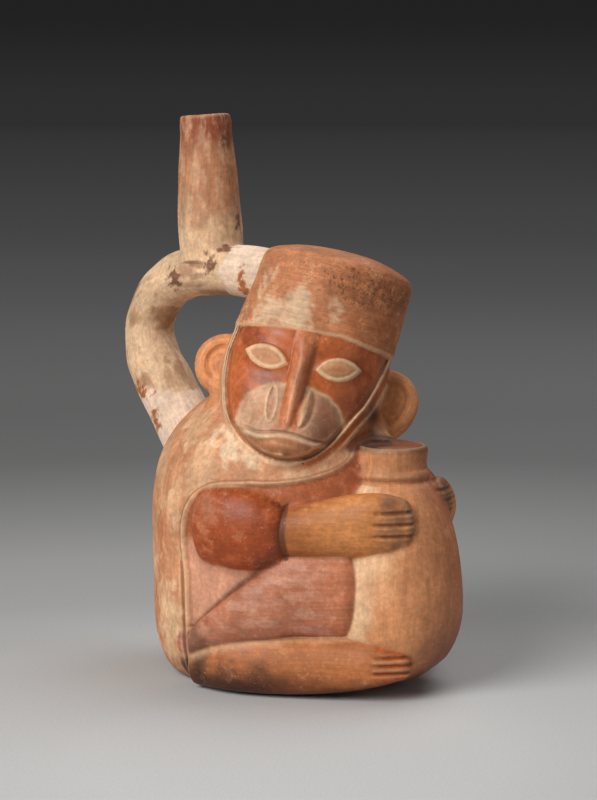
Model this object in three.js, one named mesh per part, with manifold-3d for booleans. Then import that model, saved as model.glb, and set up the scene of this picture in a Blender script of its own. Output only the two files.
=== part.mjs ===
// Stirrup-spout bottle in the form of a seated monkey that holds a jar.
// Fired clay, made of moulded and hand-built pieces luted together, with two old plaster repairs.
// Millimetres, +Z up. The figure faces -Y and its right hand is on the -X side.
// The origin is the centre of the flat underside, on the axis of the round body.

import * as THREE from 'three';
import { mergeVertices } from 'three/addons/utils/BufferGeometryUtils.js';
import Module from 'manifold-3d';

const wasm = await Module();
wasm.setup();

// Joint lines: every piece stands off its neighbour by this gap.
const LUTE_GAP = 0.3;

// Body: a round chamber with nearly upright sides and closed shoulders.
const BASE_RADIUS = 51;
const BODY_RADIUS = 61;
const SHOULDER_HEIGHT = 86;
const BODY_HEIGHT = 125;
const BODY_WALL = 6;
const FLOOR_THICKNESS = 6;
const FLOOR_SEAT_WIDTH = 4;

// Jar held before the belly. Its axis lies just inside the wall of the body.
const JAR_RADIUS = 30;
const JAR_HEIGHT = 90;
const JAR_NECK_RADIUS = 15;
const JAR_WALL = 5;
const JAR_INSET = 3;
const JAR_FOOT_RISE = 2;
const COLLAR_RADIUS = 15.5;
const COLLAR_HEIGHT = 12.2;
const COLLAR_WALL = 4.5;
const COLLAR_RIDGE = 2;
const COLLAR_DISH = 1.5;

// Head, turned to its right, leaning to its left and tipped back, sized in its own upright frame.
const HEAD_ASIDE = -5;
const HEAD_FORWARD = 14;
const HEAD_RISE = 5;
const HEAD_TURN = THREE.MathUtils.degToRad(48);
const HEAD_LEAN = THREE.MathUtils.degToRad(14);
const HEAD_TIP = THREE.MathUtils.degToRad(10);
const HEAD_HALF_WIDTH = 32;
const CHIN_DROP = 39;
const BROW_RISE = 15;
const HEAD_WALL = 5;
const FACE_LEAN = 7;
const MUZZLE_RISE = 6;
const NOSE_RISE = 4;
const EYE_RISE = 1.6;
const EYE_SPACING = 30;
const MOUTH_DEPTH = 1.6;

// Cap on the head: an upright band and a low domed top.
const CAP_RADIUS = 31.5;
const CAP_HEIGHT = 31;
const CAP_WALL = 5;
const CAP_DOME = 5;
const CAP_EDGE_ROUND = 3;
const CAP_BEAD = 1.4;

// Ears: oval saucers set on the sides of the head.
const EAR_WIDTH = 23;
const EAR_TALL = 35;
const EAR_DEPTH = 10;
const EAR_REACH = 6;
const EAR_SETBACK = 4;
const RIGHT_EAR_DROP = 11;
const LEFT_EAR_DROP = 5;

// Stirrup and spout in the plane of the figure's back.
const SPOUT_BACK = 53.5;
const SPOUT_LEAN = THREE.MathUtils.degToRad(2.3);
const SPOUT_RIM_RADIUS = 11.4;
const SPOUT_BELLY_RADIUS = 14.4;
const SPOUT_BORE_RADIUS = 7.5;
const VESSEL_HEIGHT = 240;
const ARCH_RISE = 46.5;
const ARCH_REAR = 93.3;
const TUBE_RADIUS = 10.3;
const TUBE_BORE_RADIUS = 6.8;
const REAR_FOOT_RADIUS = 13;
const REAR_FOOT_DROP = 16;
const REAR_FOOT_DEPTH = 6;
const FRONT_LEG_DIP = 1.5;
const FRONT_FILL_LENGTH = 30;
const REAR_FILL_LENGTH = 26;

// Limbs: clay rolls laid on the body and the jar.
const ARM_HEIGHT = 70;
const UPPER_ARM_TALL = 35;
const FOREARM_TALL = 24;
const ARM_THICKNESS = 21;
const HAND_THICKNESS = 10;
const FINGER_RADIUS = 3.1;
const FINGER_COUNT = 4;
const SHIN_TALL = 21;
const SHIN_THICKNESS = 19;
const THIGH_TUCK = 1;
const THIGH_THICKNESS = 19;
const KNEE_TALL = 16;
const TOE_RADIUS = 2.9;
const TOE_COUNT = 4;
const DIGIT_PITCH = 1.8;

// Places along the limbs, in degrees from the front towards the figure's right.
// The first three are about the body's axis and the others about the jar's axis.
const LIMB_END_ANGLE = 93;
const LIMB_MIDDLE_ANGLE = 72;
const LIMB_BEND_ANGLE = 51;
const FOREARM_ANGLE = 86;
const WRIST_ANGLE = 56;
const HAND_ANGLE = 30;
const FINGER_SPAN = [58, 26];
const THIGH_ANGLE = 80;
const ANKLE_LEAD = 38;
const RIGHT_FOOT_ANGLE = 34;
const LEFT_FOOT_ANGLE = 66;
const TOE_SPREAD = [28, -4];

// The left hand lies higher on the jar's shoulder than the right hand.
const LEFT_HAND_RISE = 10;
const LEFT_HAND_SINK = 5;

// Depths of the limbs' middle lines under the surfaces that they lie on.
const END_DEPTH = 4;
const LIMB_DEPTH = 2;
const THIGH_DEPTH = 3;
const HAND_DEPTH = 5;
const FINGER_DEPTH = 3;
const FOOT_DEPTH = 6;
const TOE_DEPTH = 2;

// Facet counts.
const ROUND_SIDES = 36;
const SMALL_SIDES = 24;
const TUBE_SIDES = 14;
const TUBE_STEP = 9;
const LIMB_SIDES = 10;
const DIGIT_SIDES = 6;
const PROFILE_STEPS = 10;
const FACE_COLUMNS = 44;
const FACE_ROWS = 18;

// Larger than the whole vessel, for cutting planes.
const FAR = 4 * VESSEL_HEIGHT;

const JAR_AXIS_Y = JAR_INSET - BODY_RADIUS;
const HEAD_CENTRE = new THREE.Vector3(HEAD_ASIDE, -HEAD_FORWARD, BODY_HEIGHT + HEAD_RISE);
const ARCH_HEIGHT = BODY_HEIGHT + ARCH_RISE;
const THIGH_TALL = ARM_HEIGHT - FOREARM_TALL / 2 - SHIN_TALL + THIGH_TUCK;
const CAP_SEAT = BROW_RISE + LUTE_GAP;
const CAP_TOP_SEAT = CAP_SEAT + CAP_HEIGHT;

// Materials.

function clay(colour, roughness) {
  return new THREE.MeshStandardMaterial({ color: colour, roughness, metalness: 0 });
}

const CAPE_SLIP = clay(0xc8966e, 0.55);
const RED_SLIP = clay(0x96502d, 0.45);
const OCHRE_SLIP = clay(0xb9804a, 0.5);
const JAR_SLIP = clay(0xcd9669, 0.5);
const CAP_SLIP = clay(0xac6b46, 0.6);
const EAR_SLIP = clay(0xc87b43, 0.55);
const CREAM_SLIP = clay(0xc3a582, 0.6);
const SPOUT_SLIP = clay(0xbe825f, 0.6);
const PLASTER = clay(0xe1c8af, 0.85);

// Solids from three.js geometry.

function signedVolume(positions, triangles) {
  const corner = [new THREE.Vector3(), new THREE.Vector3(), new THREE.Vector3()];
  let total = 0;
  for (let i = 0; i < triangles.length; i += 3) {
    corner.forEach((point, k) => point.fromArray(positions, 3 * triangles[i + k]));
    total += corner[0].dot(corner[1].clone().cross(corner[2])) / 6;
  }
  return total;
}

function solidOf(geometry) {
  const bare = geometry.clone();
  bare.deleteAttribute('normal');
  bare.deleteAttribute('uv');
  const merged = mergeVertices(bare, 1e-4);
  const positions = merged.attributes.position.array;
  const triangles = [];
  for (let i = 0; i < merged.index.count; i += 3) {
    const [a, b, c] = [0, 1, 2].map((k) => merged.index.getX(i + k));
    if (a !== b && b !== c && c !== a) triangles.push(a, b, c);
  }
  if (signedVolume(positions, triangles) < 0) triangles.reverse();
  const triVerts = new Uint32Array(triangles);
  const vertProperties = new Float32Array(positions);
  return new wasm.Manifold(new wasm.Mesh({ numProp: 3, vertProperties, triVerts }));
}

function geometryOf(solid) {
  const { vertProperties, triVerts } = solid.getMesh();
  const geometry = new THREE.BufferGeometry();
  geometry.setAttribute('position', new THREE.Float32BufferAttribute(vertProperties, 3));
  geometry.setIndex(new THREE.Uint32BufferAttribute(triVerts, 1));
  geometry.computeVertexNormals();
  return geometry;
}

function mirrored(geometry) {
  const copy = geometry.clone().scale(-1, 1, 1);
  copy.index.array.reverse();
  copy.computeVertexNormals();
  return copy;
}

function cutAll(solid, tools) {
  return tools.reduce((rest, tool) => rest.subtract(tool), solid);
}

function joinAll(solids) {
  return solids.reduce((whole, piece) => whole.add(piece));
}

// A box that fills the half of space on one side of a plane y = offset.
function halfSpace(side, offset) {
  const box = new THREE.BoxGeometry(FAR, FAR, FAR);
  return solidOf(box.translate(0, offset + side * FAR / 2, 0));
}

// A revolved solid about +Z from a profile of [radius, height] pairs that ends on the axis.
function revolve(profile, sides = ROUND_SIDES) {
  const points = profile.map(([radius, height]) => new THREE.Vector2(radius, height));
  return new THREE.LatheGeometry(points, sides).rotateX(Math.PI / 2);
}

// A round bar about +Z between two heights.
function pipe(radius, from, to, sides = ROUND_SIDES) {
  return revolve([[0, from], [radius, from], [radius, to], [0, to]], sides);
}

// A closed solid through rings of points, with a flat or rounded fan at each end.
function loft(rings) {
  const sides = rings[0].length;
  const positions = rings.flat().flatMap((point) => point.toArray());
  const index = [];
  for (let ring = 0; ring < rings.length - 1; ring += 1) {
    for (let side = 0; side < sides; side += 1) {
      const next = (side + 1) % sides;
      const [a, b] = [ring * sides + side, ring * sides + next];
      index.push(a, b, b + sides, a, b + sides, a + sides);
    }
  }
  [0, rings.length - 1].forEach((ring, end) => {
    const middle = new THREE.Vector3();
    rings[ring].forEach((point) => middle.addScaledVector(point, 1 / sides));
    const hub = positions.length / 3;
    positions.push(...middle.toArray());
    for (let side = 0; side < sides; side += 1) {
      const pair = [ring * sides + side, ring * sides + (side + 1) % sides];
      index.push(hub, pair[1 - end], pair[end]);
    }
  });
  const geometry = new THREE.BufferGeometry();
  geometry.setAttribute('position', new THREE.Float32BufferAttribute(positions, 3));
  geometry.setIndex(index);
  return geometry;
}

// A sweep along a curve. sizeAt gives the half width across the curve and the half height.
function sweep(curve, from, to, steps, sides, reference, sizeAt) {
  const rings = [];
  for (let step = 0; step <= steps; step += 1) {
    const t = THREE.MathUtils.lerp(from, to, step / steps);
    const centre = curve.getPointAt(t);
    const along = curve.getTangentAt(t);
    const across = along.clone().cross(reference).normalize();
    const upward = across.clone().cross(along).normalize();
    const [halfWidth, halfHeight] = sizeAt(t);
    const ring = [];
    for (let side = 0; side < sides; side += 1) {
      const angle = 2 * Math.PI * side / sides;
      const point = centre.clone().addScaledVector(across, halfWidth * Math.cos(angle));
      ring.push(point.addScaledVector(upward, halfHeight * Math.sin(angle)));
    }
    rings.push(ring);
  }
  return loft(rings);
}

// Profiles.

function smoothProfile(pairs, steps) {
  const curve = new THREE.SplineCurve(pairs.map(([r, z]) => new THREE.Vector2(r, z)));
  return curve.getPoints(steps).map((point) => [Math.max(point.x, 0), point.y]);
}

// Moves a profile that runs upward along its normals, outward where distance is positive.
function offsetProfile(profile, distance) {
  return profile.map(([radius, height], i) => {
    const before = profile[Math.max(i - 1, 0)];
    const after = profile[Math.min(i + 1, profile.length - 1)];
    const along = new THREE.Vector2(after[0] - before[0], after[1] - before[1]).normalize();
    const lengthways = radius > 1e-6 ? -along.x : Math.sign(i - 0.5);
    const sideways = radius > 1e-6 ? along.y : 0;
    return [Math.max(radius + sideways * distance, 0), height + lengthways * distance];
  });
}

// Closes a profile with a flat floor at the given height.
function flooredProfile(profile, floor) {
  const kept = profile.filter(([, height]) => height > floor + LUTE_GAP);
  return [[0, floor], [kept[0][0], floor], ...kept];
}

const BODY_OUTLINE = smoothProfile([
  [BASE_RADIUS, 0],
  [0.7 * BODY_RADIUS + 0.3 * BASE_RADIUS, 0.07 * SHOULDER_HEIGHT],
  [BODY_RADIUS, 0.4 * SHOULDER_HEIGHT],
  [BODY_RADIUS, 0.75 * SHOULDER_HEIGHT],
  [0.975 * BODY_RADIUS, SHOULDER_HEIGHT],
  [0.79 * BODY_RADIUS, 0.4 * SHOULDER_HEIGHT + 0.6 * BODY_HEIGHT],
  [0.45 * BODY_RADIUS, 0.07 * SHOULDER_HEIGHT + 0.93 * BODY_HEIGHT],
  [0, BODY_HEIGHT],
], PROFILE_STEPS + 4);

const JAR_OUTLINE = smoothProfile([
  [0, JAR_FOOT_RISE],
  [0.78 * JAR_RADIUS, 0.15 * JAR_HEIGHT],
  [JAR_RADIUS, 0.38 * JAR_HEIGHT],
  [0.97 * JAR_RADIUS, 0.58 * JAR_HEIGHT],
  [0.55 * JAR_RADIUS + 0.45 * JAR_NECK_RADIUS, 0.88 * JAR_HEIGHT],
  [JAR_NECK_RADIUS, JAR_HEIGHT],
], PROFILE_STEPS);

function radiusAt(outline, height) {
  const above = outline.findIndex(([, z]) => z >= height);
  const [r1, z1] = outline[Math.max(above, 1)];
  const [r0, z0] = outline[Math.max(above, 1) - 1];
  return THREE.MathUtils.mapLinear(height, z0, z1, r0, r1);
}

function bodyForm(distance) {
  return revolve(flooredProfile(offsetProfile(BODY_OUTLINE, distance), -distance));
}

// The chamber inside the body, with every second point of the outline.
function bodyHollow() {
  const coarse = BODY_OUTLINE.filter((point, i) => i % 2 === 0);
  return revolve(flooredProfile(offsetProfile(coarse, -BODY_WALL), FLOOR_THICKNESS), SMALL_SIDES);
}

// The jar's form up to its shoulder, or on past it where it is a hollow.
function jarForm(distance) {
  const profile = offsetProfile(JAR_OUTLINE, distance);
  const top = profile[profile.length - 1];
  const past = distance < 0 ? COLLAR_WALL : distance;
  return revolve([...profile, [top[0], JAR_HEIGHT + past], [0, JAR_HEIGHT + past]], SMALL_SIDES);
}

// The collar seats on the jar's shoulder, with a ridge at its foot and a dished, closed top.
function collarForm(distance) {
  const foot = JAR_HEIGHT + LUTE_GAP - distance;
  const top = JAR_HEIGHT + LUTE_GAP + COLLAR_HEIGHT + distance;
  const ridge = COLLAR_RADIUS + COLLAR_RIDGE + distance;
  const radius = COLLAR_RADIUS + distance;
  return revolve([
    [0, foot],
    [ridge - COLLAR_RIDGE / 2, foot],
    [ridge, foot + COLLAR_RIDGE],
    [radius, foot + 2 * COLLAR_RIDGE],
    [radius + COLLAR_DISH, top - COLLAR_DISH],
    [radius, top],
    [radius - COLLAR_WALL, top - COLLAR_DISH],
    [0, top - COLLAR_DISH],
  ], SMALL_SIDES);
}

function collarHollow() {
  const foot = JAR_HEIGHT - LUTE_GAP;
  const roof = JAR_HEIGHT + LUTE_GAP + COLLAR_HEIGHT - COLLAR_DISH - COLLAR_WALL;
  return pipe(COLLAR_RADIUS - COLLAR_WALL, foot, roof, SMALL_SIDES);
}

// Head form: rings about the head's own axis, with the face raised on the front of each ring.

function bump(value, centre, spread) {
  return Math.exp(-(((value - centre) / spread) ** 2));
}

// Height of the face above the plain head, from the distance across and up from the face's centre.
function faceRelief(across, up) {
  const side = Math.abs(across);
  const eye = EYE_RISE * bump(side, EYE_SPACING / 2, 8) * bump(up, 4, 4);
  const brow = EYE_RISE * bump(up, BROW_RISE - 3, 3) * bump(across, 0, 24);
  const bridge = 1 - 0.6 * THREE.MathUtils.smoothstep(up, -8, 14);
  const nose = NOSE_RISE * bump(across, 0, 4.5) * bridge * THREE.MathUtils.smoothstep(up, -26, -20);
  const lobe = bump(side, 10, 11) * bump(up, -18, 10);
  const mouth = MOUTH_DEPTH * bump(up, -27 + 0.006 * across * across, 1.8) * bump(across, 0, 17);
  return eye + brow + nose + MUZZLE_RISE * lobe - mouth;
}

// Half width of the head at a height, from the brow down round the jaw to the chin.
function headWidthAt(up) {
  const below = THREE.MathUtils.clamp(-up / CHIN_DROP, 0, 1);
  const above = THREE.MathUtils.clamp(up / BROW_RISE, 0, 1);
  const jaw = Math.sqrt(Math.max(1 - below ** 3, 0));
  return THREE.MathUtils.lerp(HEAD_HALF_WIDTH * jaw, CAP_RADIUS, above);
}

// The face leans forward below the brow, so each ring is carried forward as it narrows.
function headForm(distance, relief, columns = FACE_COLUMNS, rows = FACE_ROWS) {
  const rings = [];
  const lowest = -CHIN_DROP - distance;
  const highest = distance < 0 ? BROW_RISE + CAP_WALL : BROW_RISE;
  for (let row = 0; row <= rows; row += 1) {
    const rise = Math.max(row, 0.1) / rows;
    const up = THREE.MathUtils.lerp(lowest, highest, rise ** 1.4);
    const plainWidth = headWidthAt(Math.min(up * CHIN_DROP / -lowest, BROW_RISE));
    const fall = Math.max(BROW_RISE - up, 0) / (BROW_RISE + CHIN_DROP);
    const forward = CAP_RADIUS + FACE_LEAN * fall - plainWidth;
    const radius = Math.max(plainWidth + distance, 0.5);
    const ring = [];
    for (let column = 0; column < columns; column += 1) {
      const angle = 2 * Math.PI * column / columns;
      const turned = angle > Math.PI ? angle - 2 * Math.PI : angle;
      const front = THREE.MathUtils.smoothstep(Math.cos(angle), 0, 0.35);
      const raised = radius + (relief ? front * faceRelief(turned * radius, up) : 0);
      const reach = Math.max(raised, 0.5);
      ring.push(new THREE.Vector3(reach * Math.sin(angle), -forward - reach * Math.cos(angle), up));
    }
    rings.push(ring);
  }
  return loft(rings);
}

// The hollow of the head, plain inside.
function headHollowForm() {
  return headForm(-HEAD_WALL, false, FACE_COLUMNS / 2, FACE_ROWS / 2);
}

// Stirrup path, from inside the cap over the arch to inside the body's back.

const ARCH_DROP = ARCH_REAR - SPOUT_BACK;
const FRONT_LEG_END = HEAD_CENTRE.y - 0.2 * CAP_RADIUS;
const REAR_FOOT_BACK = BODY_RADIUS - BODY_WALL - REAR_FOOT_DEPTH;
const stirrupCurve = new THREE.CatmullRomCurve3([
  new THREE.Vector3(0, FRONT_LEG_END, ARCH_HEIGHT - FRONT_LEG_DIP),
  new THREE.Vector3(0, 0.5 * (SPOUT_BACK + HEAD_CENTRE.y), ARCH_HEIGHT - 0.35 * FRONT_LEG_DIP),
  new THREE.Vector3(0, SPOUT_BACK, ARCH_HEIGHT),
  new THREE.Vector3(0, SPOUT_BACK + 0.47 * ARCH_DROP, ARCH_HEIGHT - 0.06 * ARCH_DROP),
  new THREE.Vector3(0, SPOUT_BACK + 0.82 * ARCH_DROP, ARCH_HEIGHT - 0.28 * ARCH_DROP),
  new THREE.Vector3(0, ARCH_REAR, ARCH_HEIGHT - 0.66 * ARCH_DROP),
  new THREE.Vector3(0, SPOUT_BACK + 0.92 * ARCH_DROP, ARCH_HEIGHT - 1.05 * ARCH_DROP),
  new THREE.Vector3(0, SPOUT_BACK + 0.72 * ARCH_DROP, ARCH_HEIGHT - 1.35 * ARCH_DROP),
  new THREE.Vector3(0, REAR_FOOT_BACK, SHOULDER_HEIGHT - REAR_FOOT_DROP),
]);
stirrupCurve.arcLengthDivisions = 600;
const STIRRUP_LENGTH = stirrupCurve.getLength();
const ACROSS_STIRRUP = new THREE.Vector3(1, 0, 0);

// Share of the stirrup's length at which it first reaches a distance behind the body's axis.
function shareAtBack(back) {
  const samples = 400;
  for (let i = 0; i <= samples; i += 1) {
    if (stirrupCurve.getPointAt(i / samples).y >= back) return i / samples;
  }
  return 1;
}

// Share of the stirrup's length at which it enters the outer surface of the body.
function shareAtBody() {
  const samples = 400;
  for (let i = samples; i >= 0; i -= 1) {
    const point = stirrupCurve.getPointAt(i / samples);
    if (point.y > radiusAt(BODY_OUTLINE, point.z)) return i / samples;
  }
  return 1;
}

const SPOUT_SHARE = shareAtBack(SPOUT_BACK);
const CAP_SHARE = shareAtBack(HEAD_CENTRE.y + CAP_RADIUS - CAP_WALL);
const FRONT_FILL_SHARE = CAP_SHARE + FRONT_FILL_LENGTH / STIRRUP_LENGTH;
const BODY_SHARE = shareAtBody();
const REAR_FILL_SHARE = BODY_SHARE - REAR_FILL_LENGTH / STIRRUP_LENGTH;
const GAP_SHARE = LUTE_GAP / STIRRUP_LENGTH;

function stirrupTube(from, to, radius, footRadius) {
  const steps = Math.max(3, Math.ceil((to - from) * STIRRUP_LENGTH / TUBE_STEP));
  return sweep(stirrupCurve, from, to, steps, TUBE_SIDES, ACROSS_STIRRUP, (t) => {
    const flare = THREE.MathUtils.smoothstep(t, REAR_FILL_SHARE, 1);
    const size = THREE.MathUtils.lerp(radius, footRadius, flare);
    return [size, size];
  });
}

// Spout: a tapered tube that stands on the arch and leans back.

function spoutFrame() {
  const frame = new THREE.Group();
  frame.position.set(0, SPOUT_BACK, ARCH_HEIGHT);
  frame.rotation.set(-SPOUT_LEAN, 0, 0);
  frame.updateMatrixWorld();
  return frame.matrixWorld;
}

function spoutForm() {
  const standing = (VESSEL_HEIGHT - ARCH_HEIGHT) / Math.cos(SPOUT_LEAN);
  const rim = standing - SPOUT_RIM_RADIUS * Math.tan(SPOUT_LEAN);
  const foot = 0.5 * TUBE_RADIUS;
  const belly = 1.6 * TUBE_RADIUS;
  const side = smoothProfile([
    [0.82 * SPOUT_BELLY_RADIUS, foot],
    [0.97 * SPOUT_BELLY_RADIUS, 0.55 * belly + 0.45 * foot],
    [SPOUT_BELLY_RADIUS, belly],
    [0.4 * SPOUT_RIM_RADIUS + 0.6 * SPOUT_BELLY_RADIUS, 0.5 * (belly + rim)],
    [SPOUT_RIM_RADIUS, rim],
  ], PROFILE_STEPS - 4);
  return revolve([[0, foot], ...side, [0, rim]], SMALL_SIDES).applyMatrix4(spoutFrame());
}

function spoutBore() {
  const top = VESSEL_HEIGHT - ARCH_HEIGHT + SPOUT_RIM_RADIUS;
  return pipe(SPOUT_BORE_RADIUS, 0, top, SMALL_SIDES).applyMatrix4(spoutFrame());
}

// Limb stations on the figure's right side. The angle runs from the front towards the right.

function aroundBody(degrees, depth, height) {
  const angle = THREE.MathUtils.degToRad(degrees);
  const radius = radiusAt(BODY_OUTLINE, height) - depth;
  return new THREE.Vector3(-radius * Math.sin(angle), -radius * Math.cos(angle), height);
}

function aroundJar(degrees, depth, height) {
  const angle = THREE.MathUtils.degToRad(degrees);
  const radius = JAR_RADIUS - depth;
  return new THREE.Vector3(-radius * Math.sin(angle), JAR_AXIS_Y - radius * Math.cos(angle), height);
}

// A limb swells between stations of [place, tall, thick] and rounds off over its two ends.
function limb(stations, grow, sides = LIMB_SIDES) {
  const curve = new THREE.CatmullRomCurve3(stations.map(([place]) => place));
  const spans = stations.length - 1;
  const steps = 2 * spans + 4;
  const roundShare = 0.5 * stations[spans][2] / curve.getLength();
  const startShare = 0.5 * stations[0][2] / curve.getLength();
  const upward = new THREE.Vector3(0, 0, 1);
  return sweep(curve, 0, 1, steps, sides, upward, (t) => {
    const span = Math.min(Math.floor(t * spans), spans - 1);
    const mix = THREE.MathUtils.smoothstep(t * spans - span, 0, 1);
    const tall = THREE.MathUtils.lerp(stations[span][1], stations[span + 1][1], mix);
    const thick = THREE.MathUtils.lerp(stations[span][2], stations[span + 1][2], mix);
    const end = Math.min(1, t / startShare + 0.1, (1 - t) / roundShare + 0.1);
    const round = Math.sqrt(1 - (1 - end) ** 2);
    return [round * thick / 2 + grow, round * tall / 2 + grow];
  });
}

function armForm(grow, rise, sink) {
  const hand = ARM_HEIGHT + rise;
  const wristDepth = 2 * LIMB_DEPTH + sink;
  return limb([
    [aroundBody(LIMB_END_ANGLE, END_DEPTH, ARM_HEIGHT), UPPER_ARM_TALL, ARM_THICKNESS],
    [aroundBody(LIMB_MIDDLE_ANGLE, LIMB_DEPTH, ARM_HEIGHT), UPPER_ARM_TALL, ARM_THICKNESS],
    [aroundBody(LIMB_BEND_ANGLE, LIMB_DEPTH, ARM_HEIGHT), 0.85 * UPPER_ARM_TALL, ARM_THICKNESS],
    [aroundJar(FOREARM_ANGLE, -LIMB_DEPTH, ARM_HEIGHT + rise / 3), FOREARM_TALL, 0.8 * ARM_THICKNESS],
    [aroundJar(WRIST_ANGLE, wristDepth, hand), FOREARM_TALL, 0.6 * ARM_THICKNESS],
    [aroundJar(HAND_ANGLE, HAND_DEPTH + sink, hand), FOREARM_TALL, HAND_THICKNESS],
  ], grow);
}

// Digits lie side by side down the end of a limb and stand a little proud of it.
function digits(count, radius, middle, [from, to], depth) {
  const pitch = DIGIT_PITCH * radius;
  return Array.from({ length: count }, (unused, i) => {
    const height = middle + (i - (count - 1) / 2) * pitch;
    const size = 2 * radius;
    return limb([
      [aroundJar(from, depth, height), size, size],
      [aroundJar((from + to) / 2, depth, height), size, size],
      [aroundJar(to, depth, height), size, size],
    ], 0, DIGIT_SIDES);
  });
}

function shinForm(footAngle) {
  const height = SHIN_TALL / 2 + LUTE_GAP;
  const ankleAngle = Math.min(footAngle + ANKLE_LEAD, FOREARM_ANGLE);
  return limb([
    [aroundBody(LIMB_END_ANGLE, END_DEPTH, height), 0.85 * SHIN_TALL, SHIN_THICKNESS],
    [aroundBody(LIMB_MIDDLE_ANGLE, LIMB_DEPTH, height), SHIN_TALL, SHIN_THICKNESS],
    [aroundBody(LIMB_BEND_ANGLE, LIMB_DEPTH, height), SHIN_TALL, SHIN_THICKNESS],
    [aroundJar(ankleAngle, LIMB_DEPTH, height), SHIN_TALL, SHIN_THICKNESS],
    [aroundJar(footAngle, FOOT_DEPTH, height), 0.9 * SHIN_TALL, 0.7 * SHIN_THICKNESS],
  ], 0);
}

function thighForm() {
  const rise = SHIN_TALL + THIGH_TALL / 2;
  const middle = (KNEE_TALL + rise) / 2;
  const middleTall = (KNEE_TALL + THIGH_TALL) / 2;
  return limb([
    [aroundBody(LIMB_END_ANGLE, END_DEPTH, KNEE_TALL), KNEE_TALL, THIGH_THICKNESS],
    [aroundBody(LIMB_MIDDLE_ANGLE, THIGH_DEPTH, middle), middleTall, THIGH_THICKNESS],
    [aroundBody(LIMB_BEND_ANGLE, THIGH_DEPTH, rise), THIGH_TALL, THIGH_THICKNESS],
    [aroundJar(THIGH_ANGLE, THIGH_DEPTH, rise), THIGH_TALL, 0.8 * THIGH_THICKNESS],
  ], 0);
}

// Ear: an oval saucer with a thick rim, open to the front.
function earForm(side, drop) {
  const reach = EAR_DEPTH / 2;
  const profile = [
    [0, -0.9 * reach], [0.55, -0.7 * reach], [0.9, -0.2 * reach], [1, 0.4 * reach],
    [0.93, 0.95 * reach], [0.8, reach], [0.6, 0.35 * reach], [0.3, 0], [0, 0],
  ];
  const saucer = new THREE.LatheGeometry(profile.map(([r, z]) => new THREE.Vector2(r, z)), SMALL_SIDES);
  saucer.rotateX(Math.PI);
  saucer.scale(EAR_WIDTH / 2, 1, EAR_TALL / 2);
  return saucer.translate(side * (HEAD_HALF_WIDTH + EAR_REACH), EAR_SETBACK, -drop);
}

// Cap.

function capBandForm(distance) {
  const radius = CAP_RADIUS + distance;
  const foot = CAP_SEAT - distance;
  return revolve([
    [0, foot],
    [radius, foot],
    [radius + CAP_BEAD, foot + CAP_BEAD],
    [radius + CAP_BEAD, foot + 2 * CAP_BEAD],
    [radius, foot + 3 * CAP_BEAD],
    [radius, CAP_TOP_SEAT + distance],
    [0, CAP_TOP_SEAT + distance],
  ]);
}

function capTopForm(distance) {
  const foot = CAP_TOP_SEAT + LUTE_GAP;
  const shoulder = foot + CAP_EDGE_ROUND;
  const dome = offsetProfile([
    [CAP_RADIUS, foot],
    [CAP_RADIUS - 0.3 * CAP_EDGE_ROUND, foot + 0.7 * CAP_EDGE_ROUND],
    [CAP_RADIUS - CAP_EDGE_ROUND, shoulder],
    [0.6 * CAP_RADIUS, shoulder + 0.6 * CAP_DOME],
    [0.3 * CAP_RADIUS, shoulder + 0.92 * CAP_DOME],
    [0, shoulder + CAP_DOME],
  ], distance);
  return revolve([[0, foot - distance], [CAP_RADIUS + distance, foot - distance], ...dome]);
}

// Scene graph.

const vessel = new THREE.Group();
const figure = new THREE.Group();
const jar = new THREE.Group();
const head = new THREE.Group();
const stirrup = new THREE.Group();
vessel.add(figure, jar, head, stirrup);
jar.position.set(0, JAR_AXIS_Y, 0);
head.position.copy(HEAD_CENTRE);
head.rotation.set(-HEAD_TIP, HEAD_LEAN, -HEAD_TURN, 'ZYX');
vessel.updateMatrixWorld(true);

function piece(group, name, geometry, material) {
  const mesh = new THREE.Mesh(geometry, material);
  mesh.name = name;
  group.add(mesh);
}

function outOf(group, geometry) {
  return geometry.clone().applyMatrix4(group.matrixWorld);
}

function into(group, geometry) {
  return geometry.clone().applyMatrix4(group.matrixWorld.clone().invert());
}

// Forms that other pieces are cut to.
const bodyCutter = bodyForm(LUTE_GAP);
const jarCutter = outOf(jar, jarForm(LUTE_GAP));
const collarCutter = outOf(jar, collarForm(LUTE_GAP));
const jarHollow = outOf(jar, jarForm(-JAR_WALL));
const headHollow = outOf(head, headHollowForm());
const boreTube = stirrupTube(0, 1, TUBE_BORE_RADIUS, TUBE_BORE_RADIUS);

// Body: two moulded halves and a floor disc.
const floorRadius = BASE_RADIUS - FLOOR_SEAT_WIDTH;
const bodyShell = cutAll(solidOf(bodyForm(0)), [
  solidOf(bodyHollow()),
  solidOf(pipe(floorRadius + LUTE_GAP, -FLOOR_THICKNESS, 2 * FLOOR_THICKNESS)),
  solidOf(jarHollow),
  solidOf(headHollow),
  solidOf(boreTube),
]);
const bodyFront = bodyShell.intersect(halfSpace(-1, -LUTE_GAP / 2));
const bodyBack = bodyShell.intersect(halfSpace(1, LUTE_GAP / 2));
piece(figure, 'body_front_half', geometryOf(bodyFront), CAPE_SLIP);
piece(figure, 'body_back_half', geometryOf(bodyBack), CAPE_SLIP);
piece(figure, 'base_disc', pipe(floorRadius, 0, FLOOR_THICKNESS), CAPE_SLIP);

// Limbs: made on the right side, cut to the body and jar, and mirrored for the left side.
const hosts = [solidOf(bodyCutter), solidOf(jarCutter), solidOf(collarCutter)];

function armPiece(rise, sink) {
  const depth = FINGER_DEPTH + sink;
  const fingers = digits(FINGER_COUNT, FINGER_RADIUS, ARM_HEIGHT + rise, FINGER_SPAN, depth);
  return geometryOf(cutAll(joinAll([armForm(0, rise, sink), ...fingers].map(solidOf)), hosts));
}

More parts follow.
